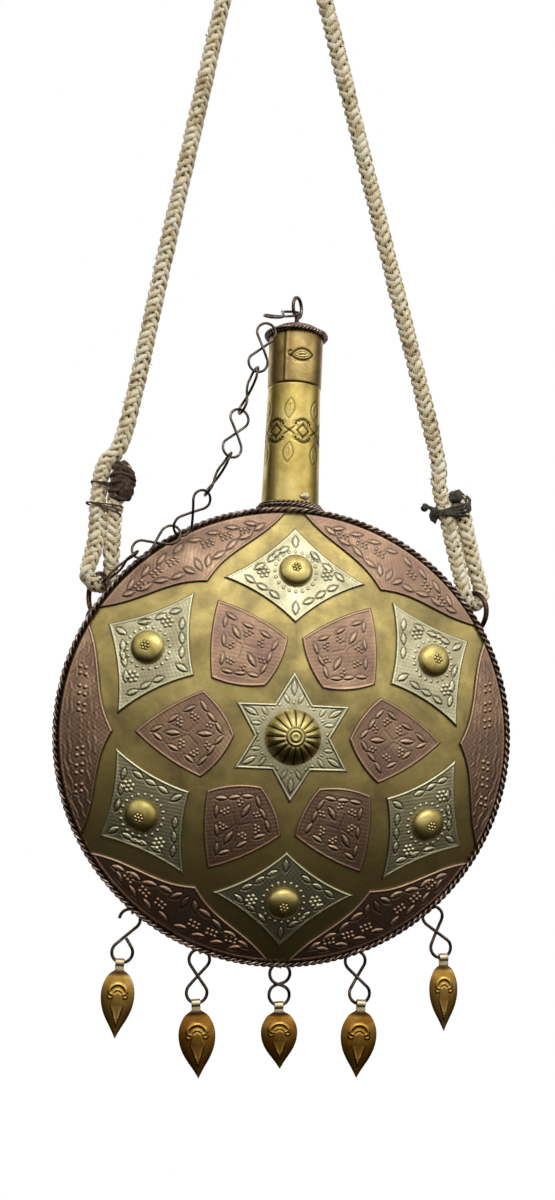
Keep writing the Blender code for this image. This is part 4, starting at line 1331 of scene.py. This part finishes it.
def cap_relief(s, z):
    """A leaf lying across the front of the cap, hatched along its lower side."""
    leaf = almond(s, z, (2.4, -1.2), 0.1, 14.0, 6.4, 0.12, 0.34)
    inner = almond(s, z, (2.4, -1.3), 0.1, 9.4, 3.2, 0.05, 0.26)
    total = leaf + inner
    for k in range(7):
        x = -2.6 + 1.5 * k
        total = total + scratch(s, z, [(x, -4.5 + 0.1 * k), (x + 0.9, -5.8 + 0.12 * k)], 0.35, 0.2)
    total = total + scratch(s, z, ring_path(-5.4, -0.6, 1.5, 60, 300), 0.5, 0.28)
    seam = np.exp(-(((s + 7.6) / 0.9) ** 2))
    return total + 0.28 * seam - 0.2 * np.exp(-(((s + 9.2) / 0.5) ** 2))


def cap():
    bottom, top, radius, bore = 0.2178, 0.2510, 0.0168, 0.0156
    rise = 0.0055
    profile = [(0, top + rise)]
    profile += [(0.0160 * k / 16, top + rise * (1 - (k / 16) ** 4) ** 0.6) for k in range(1, 17)]
    profile += [(0.0166, top - 0.0002), (radius, top - 0.0012)]
    rows = 76
    profile += [(radius, top - 0.0012 + (bottom + 0.0006 - top + 0.0012) * k / rows) for k in range(1, rows + 1)]
    profile += [(radius - 0.0003, bottom), (bore, bottom), (bore, top - 0.0022), (0, top - 0.0022)]
    shell = turned(profile, 224)

    def height(p):
        turn = np.arctan2(p[:, 1], p[:, 0]) + math.pi / 2
        turn = (turn + math.pi) % TAU - math.pi
        return cap_relief(turn * 16.8, p[:, 2] - 235.5)

    def outside(p):
        return (np.hypot(p[:, 0], p[:, 1]) > 16.3) & (p[:, 2] < 249.0) & (p[:, 2] > 218.2)

    round_relief(shell, height, outside)
    rim = twist(0.0183, 0.00085, 24, 12)
    rim.data.transform(Matrix.Translation((0, 0, top - 0.0008)))
    shell.data.materials.clear()
    rim.data.materials.clear()
    shell.data.materials.append(CAP_BRASS)
    shell.data.materials.append(LID_COPPER)
    for face in shell.data.polygons:
        face.material_index = 1 if face.center.z > top - 0.0011 else 0
    rim.data.materials.append(TWISTED)
    whole = join([shell, rim])
    kept = list(whole.data.materials)
    indices = [face.material_index for face in whole.data.polygons]
    place = BODY_MATRIX @ Matrix.Translation(NECK)
    settle(whole, "cap_engraved", "cap", ["cap"], "cap_brass", *kept, matrix=place)
    whole.data.polygons.foreach_set("material_index", indices)


# The lid of the cap is copper, rubbed pink
LID_COPPER = metal("rubbed lid copper", "#b08a7a", "#8a6252", "#3a2019", "#d6b3a2", 0.36, 8 * MM, 1.4 * MM, 0.06 * MM)

neck()
cap()


# Eye, lugs, rings, chain and hooks

EYE_TURN = math.radians(232)


def eye():
    base = NECK + Vector((0, 0, 0.2686))
    points = []
    for k in range(48):
        out, up = polar(1, TAU * k / 48)
        x, y = polar(0.005 * out, EYE_TURN)
        points.append(base + Vector((x, y, 0.0062 * up)))
    loop = wire(points, 0.0011, True, 4)
    stem = []
    for k in range(40):
        t = k / 39
        x, y = polar(0.00075, t * 2.6 * TAU)
        stem.append(NECK + Vector((x, y, 0.2515 + t * (0.2626 - 0.2515))))
    other = [Vector((2 * NECK.x - p.x, 2 * NECK.y - p.y, p.z)) for p in stem]
    pieces = [loop, wire(stem, 0.00085, False, 3), wire(other, 0.00085, False, 3)]
    whole = join(pieces)
    settle(whole, "cap_eye_wire", "cap", ["cap_eye"], "cap_brass", IRON, matrix=BODY_MATRIX)


RING_TURN = math.radians(60)
RING_RISE = math.radians(35.305)
RING_REACH = SHELL_EDGE + 0.00645


def ring_point(side, turn):
    x, z = polar(RING_REACH, RING_RISE)
    across = Vector((math.cos(RING_TURN), -math.sin(RING_TURN), 0))
    offset = across * math.sin(turn) + Vector((0, 0, 1)) * math.cos(turn)
    return Vector((side * x, 0.015, z)) + offset * 0.0124


def rings_and_lugs():
    for side, name in ((-1, "left"), (1, "right")):
        points = [ring_point(side, TAU * k / 64) for k in range(64)]
        ring = wire(points, 0.0016, True, 5)
        settle(ring, f"{name}_ring_wire", "flask", [f"{name}_ring"], "hook_copper", RING_COPPER, matrix=BODY_MATRIX)
        middle = ring_point(side, math.pi) - Vector((0, 0, 0.0019))
        out = Vector((middle.x, 0, middle.z)).normalized()
        across = Vector((-out.z, 0, out.x))
        drop = Vector((middle.x, 0, middle.z)).length - BAND_RADIUS - 0.0003
        path = [middle + across * 0.0056 - out * drop]
        for k in range(17):
            x, y = polar(0.0056, k * math.pi / 16)
            path.append(middle + across * x + out * y)
        path.append(middle - across * 0.0056 - out * drop)
        lug = wire(path, 0.0015, False, 4)
        settle(lug, f"{name}_lug_wire", "flask", [f"{name}_lug"], "dark_wire", RING_COPPER, matrix=BODY_MATRIX)


LINK_WIRE = 0.00095


def eight(length, width, reach, open_loop=False):
    """A figure-eight wire along +Z: two round loops joined by a crossing.

    With open_loop, the wire starts low on the left of the first loop and ends at the crossing.
    """
    radius = width / 2
    middle = length / 2
    rise = middle - radius
    lean = math.asin(radius / rise)
    flat = []
    for sign in (-1, 1):
        for k in range(25):
            turn = -lean + (math.pi + 2 * lean) * k / 24
            flat.append((radius * math.cos(turn), sign * (rise + radius * math.sin(turn))))
    if open_loop:
        flat = flat[21::-1] + [(x, z) for x, z in flat[49:24:-1]] + [(0.0004, 0.0012)]
    else:
        flat = flat[24::-1] + [(x, z) for x, z in flat[49:24:-1]]
    points = []
    for i in range(len(flat)):
        x, z = flat[i]
        after = flat[(i + 1) % len(flat)]
        points.append((x, z))
        if abs(after[1] - z) > radius * 0.9 and not (open_loop and i == len(flat) - 1):
            points += [(x + (after[0] - x) * t, z + (after[1] - z) * t) for t in (0.2, 0.4, 0.6, 0.8)]
    half = len(points) // 2
    out = []
    for i, (x, z) in enumerate(points):
        near = max(0.0, 1 - (abs(z) / rise) ** 2)
        before, after = points[i - 1], points[(i + 1) % len(points)]
        way = 1 if (after[0] - before[0]) * (after[1] - before[1]) > 0 else -1
        out.append((x, way * (LINK_WIRE + 0.00015) * near, middle + z - reach))
    return out


# Pivot of each link and how it is turned, as in the solids, from link 1 at the cap down
LINKS = (
    ((0.01327, 0.00407, -0.24663), (1.9614, 0.3028, -0.6273), 0.00255),
    ((-0.01190, -0.01465, -0.28768), (0.0277, -0.2775, -3.0510), 0.0024),
    ((-0.02119, -0.01762, -0.31435), (0.3504, 0.0102, 1.8521), 0.0024),
    ((-0.02807, -0.02206, -0.34154), (0.0865, -0.2798, -2.8724), 0.0024),
    ((-0.04222, -0.02601, -0.36585), (-0.5428, -0.0311, -1.3499), 0.0024),
    ((-0.05858, -0.02430, -0.38863), (-0.4256, -0.4736, -2.4637), 0.0027),
    ((-0.08360, -0.02234, -0.40127), (0.4743, -1.0407, 2.5267), 0.0027),
    ((-0.10207, -0.00846, -0.41665), (0.9385, -0.3540, 1.1751), 0.00305),
)


def place_at(location, turned_by):
    return Matrix.Translation(location) @ Matrix([list(r) for r in euler_matrix(turned_by)]).to_4x4()


def euler_matrix(turned_by):
    return Euler(turned_by).to_matrix()


def links():
    for i, (pivot, turned_by, reach) in enumerate(LINKS):
        link = wire(eight(0.0308, 0.0116, reach), LINK_WIRE - 0.00015, True, 4)
        name = f"chain_link_{i + 1}"
        place = place_at(pivot, turned_by)
        settle(link, f"{name}_wire", name, [name], "iron", IRON, matrix=place)


# Top of each hook and of each drop, as in the solids
HOOKS = (
    ((-0.08662, -0.007, -0.61498), 13),
    ((-0.04564, -0.007, -0.63990), 4.6),
    ((0.00330, -0.007, -0.64967), 2),
    ((0.04907, -0.007, -0.64296), -7.5),
    ((0.09694, -0.007, -0.61642), -15),
)
DROPS = (
    ((-0.09400, -0.007, -0.64694), 4),
    ((-0.04827, -0.007, -0.67259), -2),
    ((0.00240, -0.007, -0.67526), -1),
    ((0.05335, -0.007, -0.67547), 3.5),
    ((0.10543, -0.007, -0.64810), -0.5),
)
DROP_SHARES = (
    (0.0, 0.15),
    (0.07, 0.17),
    (0.11, 0.3),
    (0.14, 0.5),
    (0.18, 0.67),
    (0.26, 0.85),
    (0.34, 0.96),
    (0.42, 1.0),
    (0.51, 0.98),
    (0.59, 0.91),
    (0.67, 0.79),
    (0.75, 0.62),
    (0.84, 0.39),
    (0.92, 0.19),
    (1.0, 0.015),
)


def hooks():
    for i, (top, lean) in enumerate(HOOKS):
        length = 0.0256 if i == 2 else 0.0328
        if i == 0:
            hook = wire(eight(length, 0.0125, 0, True), LINK_WIRE + 0.00005, False, 4)
        else:
            hook = wire(eight(length, 0.0125, 0), LINK_WIRE + 0.00005, True, 4)
        name = f"pendant_hook_{i + 1}"
        place = place_at(top, (-math.pi, math.radians(lean), 0))
        settle(hook, f"{name}_wire", name, [name], "hook_copper", HOOK_WIRE, matrix=place)


def drop_relief(u, v):
    """An arch over a fan of strokes; u is across in millimetres, v is the share down the drop."""
    y = -(v - 0.42) * 44
    total = -scratch(u, y, ring_path(0, 0.4, 5.9, 12, 168), 0.75, 0.75)
    total = total - scratch(u, y, ring_path(0, -0.6, 3.6, 15, 165), 0.55, 0.55)
    for side in (1, -1):
        total = total - scratch(u, y, ring_path(5.0 * side, -0.6, 1.3, 0, 330), 0.5, 0.5)
    for k in range(-3, 4):
        first = (0.75 * k, 1.6 - 0.5 * abs(k))
        knee = (1.25 * k, -6.5)
        last = (0.42 * k, -18.5 + 1.5 * abs(k))
        total = total - scratch(u, y, [first, knee, last], 0.42, 0.5)
    return total


def drops():
    for i, ((at, lean), (_, _, _, wide)) in enumerate(zip(DROPS, PENDANTS)):
        length = 39.0 if i == 2 else 46.0
        half = 11.2 * wide
        fine = spline([(down * 40, share * 12, 0) for down, share in DROP_SHARES], 0.5)
        down = np.array([p.x / 40 for p in fine])
        share = np.array([max(p.y / 12, 0.015) for p in fine])
        deselect()
        bpy.ops.mesh.primitive_grid_add(x_subdivisions=52, y_subdivisions=104, size=1)
        obj = bpy.context.object
        flat = coordinates(obj)
        across = flat[:, 0] * 2
        v = 0.075 + (flat[:, 1] + 0.5) * 0.925
        wide_here = np.interp(v, down, share) * half
        u = across * wide_here
        relief = drop_relief(u / wide, v) * np.clip((1 - np.abs(across)) * 4, 0, 1)
        belly = 2.2 * (1 - across**2) * np.clip(np.sin(math.pi * np.clip(v, 0, 1) ** 0.75), 0, 1)
        put(obj, np.stack([u * MM, -(belly + relief * 0.8 - 0.65) * MM, -v * length * MM], axis=1))
        # Painted shadow: the top of each drop, under its bail, takes the dark groove colour.
        store(obj, "chase_and_painted_light", relief * 0.7 - 0.4 * np.clip((0.19 - v) / 0.07, 0, 1))
        wall = obj.modifiers.new("wall", "SOLIDIFY")
        wall.thickness = 0.0011
        wall.offset = -1
        bpy.context.view_layer.objects.active = obj
        bpy.ops.object.mode_set(mode="EDIT")
        bpy.ops.mesh.select_all(action="SELECT")
        bpy.ops.mesh.normals_make_consistent(inside=False)
        bpy.ops.object.mode_set(mode="OBJECT")
        if obj.data.polygons[len(obj.data.polygons) // 2].normal.y > 0:
            obj.data.flip_normals()
        bpy.ops.object.modifier_apply(modifier=wall.name)
        strip = bail(length * 0.115)
        obj.data.materials.clear()
        amber = PALE_AMBER if i in (0, 4) else AMBER
        obj.data.materials.append(amber)
        strip.data.materials.clear()
        strip.data.materials.append(BAIL)
        whole = join([obj, strip])
        indices = [face.material_index for face in whole.data.polygons]
        name = f"pendant_drop_{i + 1}"
        place = place_at(at, (0, math.radians(lean), 0))
        settle(whole, f"{name}_pressed", name, [name], "amber_brass", amber, BAIL, matrix=place)
        whole.data.polygons.foreach_set("material_index", indices)


def bail(reach):
    """A strip folded over the hook's wire, its two ends soldered down on the drop."""
    radius = 2.25
    path = [(-1.5, -reach), (-1.6, -reach * 0.72)]
    for k in range(13):
        turn = math.radians(-125 - 290 * k / 12)
        y, z = polar(radius, turn)
        path.append((y, z))
    path += [(0.9, -reach * 0.72), (0.6, -reach)]
    points, faces = [], []
    half, thick = 2.7, 0.34
    count = len(path)
    for i, (y, z) in enumerate(path):
        before = path[max(i - 1, 0)]
        after = path[min(i + 1, count - 1)]
        run = math.hypot(after[0] - before[0], after[1] - before[1])
        ny, nz = -(after[1] - before[1]) / run, (after[0] - before[0]) / run
        for x in (-half, half):
            for sign in (1, -1):
                points.append((x * MM, (y + ny * thick * sign) * MM, (z + nz * thick * sign) * MM))
    for i in range(count - 1):
        a = i * 4
        for p, q in ((0, 1), (1, 3), (3, 2), (2, 0)):
            faces.append((a + p, a + q, a + 4 + q, a + 4 + p))
    faces += [(0, 2, 3, 1), tuple((count - 1) * 4 + k for k in (0, 1, 3, 2))]
    strip = new_mesh(points, faces)
    bevel = strip.modifiers.new("edges", "BEVEL")
    bevel.width = 0.00018
    bevel.segments = 2
    deselect()
    strip.select_set(True)
    bpy.context.view_layer.objects.active = strip
    bpy.ops.object.modifier_apply(modifier=bevel.name)
    bpy.ops.object.mode_set(mode="EDIT")
    bpy.ops.mesh.select_all(action="SELECT")
    bpy.ops.mesh.normals_make_consistent(inside=False)
    bpy.ops.object.mode_set(mode="OBJECT")
    return strip


eye()
rings_and_lugs()
links()
hooks()
drops()


# Studio


def studio():
    scene = bpy.context.scene
    scene.view_settings.view_transform = "Standard"
    world = bpy.data.worlds.new("studio")
    scene.world = world
    world.use_nodes = True
    tree = world.node_tree
    place = add(tree, "ShaderNodeTexCoord").outputs["Generated"]
    towards = add(
        tree,
        "ShaderNodeVectorMath",
        {"operation": "DOT_PRODUCT", 1: (0.15, -0.52, 0.84)},
        {0: place},
    )
    height = add(
        tree,
        "ShaderNodeMapRange",
        {"From Min": -1, "From Max": 1, "To Min": 0, "To Max": 1},
        {"Value": towards.outputs["Value"]},
    )
    sky = add(
        tree,
        "ShaderNodeValToRGB",
        None,
        {"Fac": height.outputs["Result"]},
        [(0.42, "#050301"), (0.54, "#1d1710"), (0.61, "#635b4e"), (0.67, "#b4aea2"), (0.78, "#f1efeb"), (0.88, "#ffffff")],
    )
    back = tree.nodes["Background"]
    tree.links.new(sky.outputs["Color"], back.inputs["Color"])
    back.inputs["Strength"].default_value = 1.0
    deselect()
    bpy.ops.mesh.primitive_plane_add(size=6, location=(0, 4.0, -3.2))
    floor = bpy.context.object
    floor.name = "floor"
    made, tree, shader = material("pale floor")
    shader.inputs["Base Color"].default_value = linear("#dcdbd8")
    shader.inputs["Roughness"].default_value = 0.9
    floor.data.materials.append(made)
    deselect()
    bpy.ops.mesh.primitive_plane_add(size=7, location=(0, 2.6, -0.5), rotation=(math.pi / 2, 0, 0))
    wall = bpy.context.object
    wall.name = "backdrop"
    made, tree, shader = material("white backdrop")
    path = add(tree, "ShaderNodeLightPath")
    seen = add(
        tree,
        "ShaderNodeMath",
        {"operation": "MAXIMUM"},
        {0: path.outputs["Is Camera Ray"], 1: path.outputs["Is Glossy Ray"]},
    )
    seen = add(
        tree,
        "ShaderNodeMath",
        {"operation": "MAXIMUM"},
        {0: seen.outputs[0], 1: path.outputs["Is Transmission Ray"]},
    )
    glow = add(tree, "ShaderNodeEmission", {"Color": (1, 1, 1, 1), "Strength": 1.0})
    dull = add(tree, "ShaderNodeBsdfDiffuse", {"Color": linear("#dcdbd8")})
    either = add(
        tree,
        "ShaderNodeMixShader",
        None,
        {0: seen.outputs[0], 1: dull.outputs[0], 2: glow.outputs[0]},
    )
    output = tree.nodes["Material Output"]
    tree.links.new(either.outputs[0], output.inputs["Surface"])
    wall.data.materials.append(made)
    lamps = (
        ("top softbox", (0.2, -1.3, 0.85), 1.6, 1.1, 12),
        ("left softbox", (-1.5, -0.9, 0.1), 0.8, 1.2, 1.2),
        ("right softbox", (1.5, -0.8, 0.1), 0.8, 1.2, 1.6),
    )
    for name, at, wide, tall, power in lamps:
        lamp = bpy.data.lights.new(name, "AREA")
        lamp.shape = "RECTANGLE"
        lamp.size = wide
        lamp.size_y = tall
        lamp.energy = power
        obj = bpy.data.objects.new(name, lamp)
        obj.location = at
        aim = Vector((0, 0, -0.45)) - Vector(at)
        obj.rotation_euler = aim.to_track_quat("-Z", "Y").to_euler()
        scene.collection.objects.link(obj)


studio()
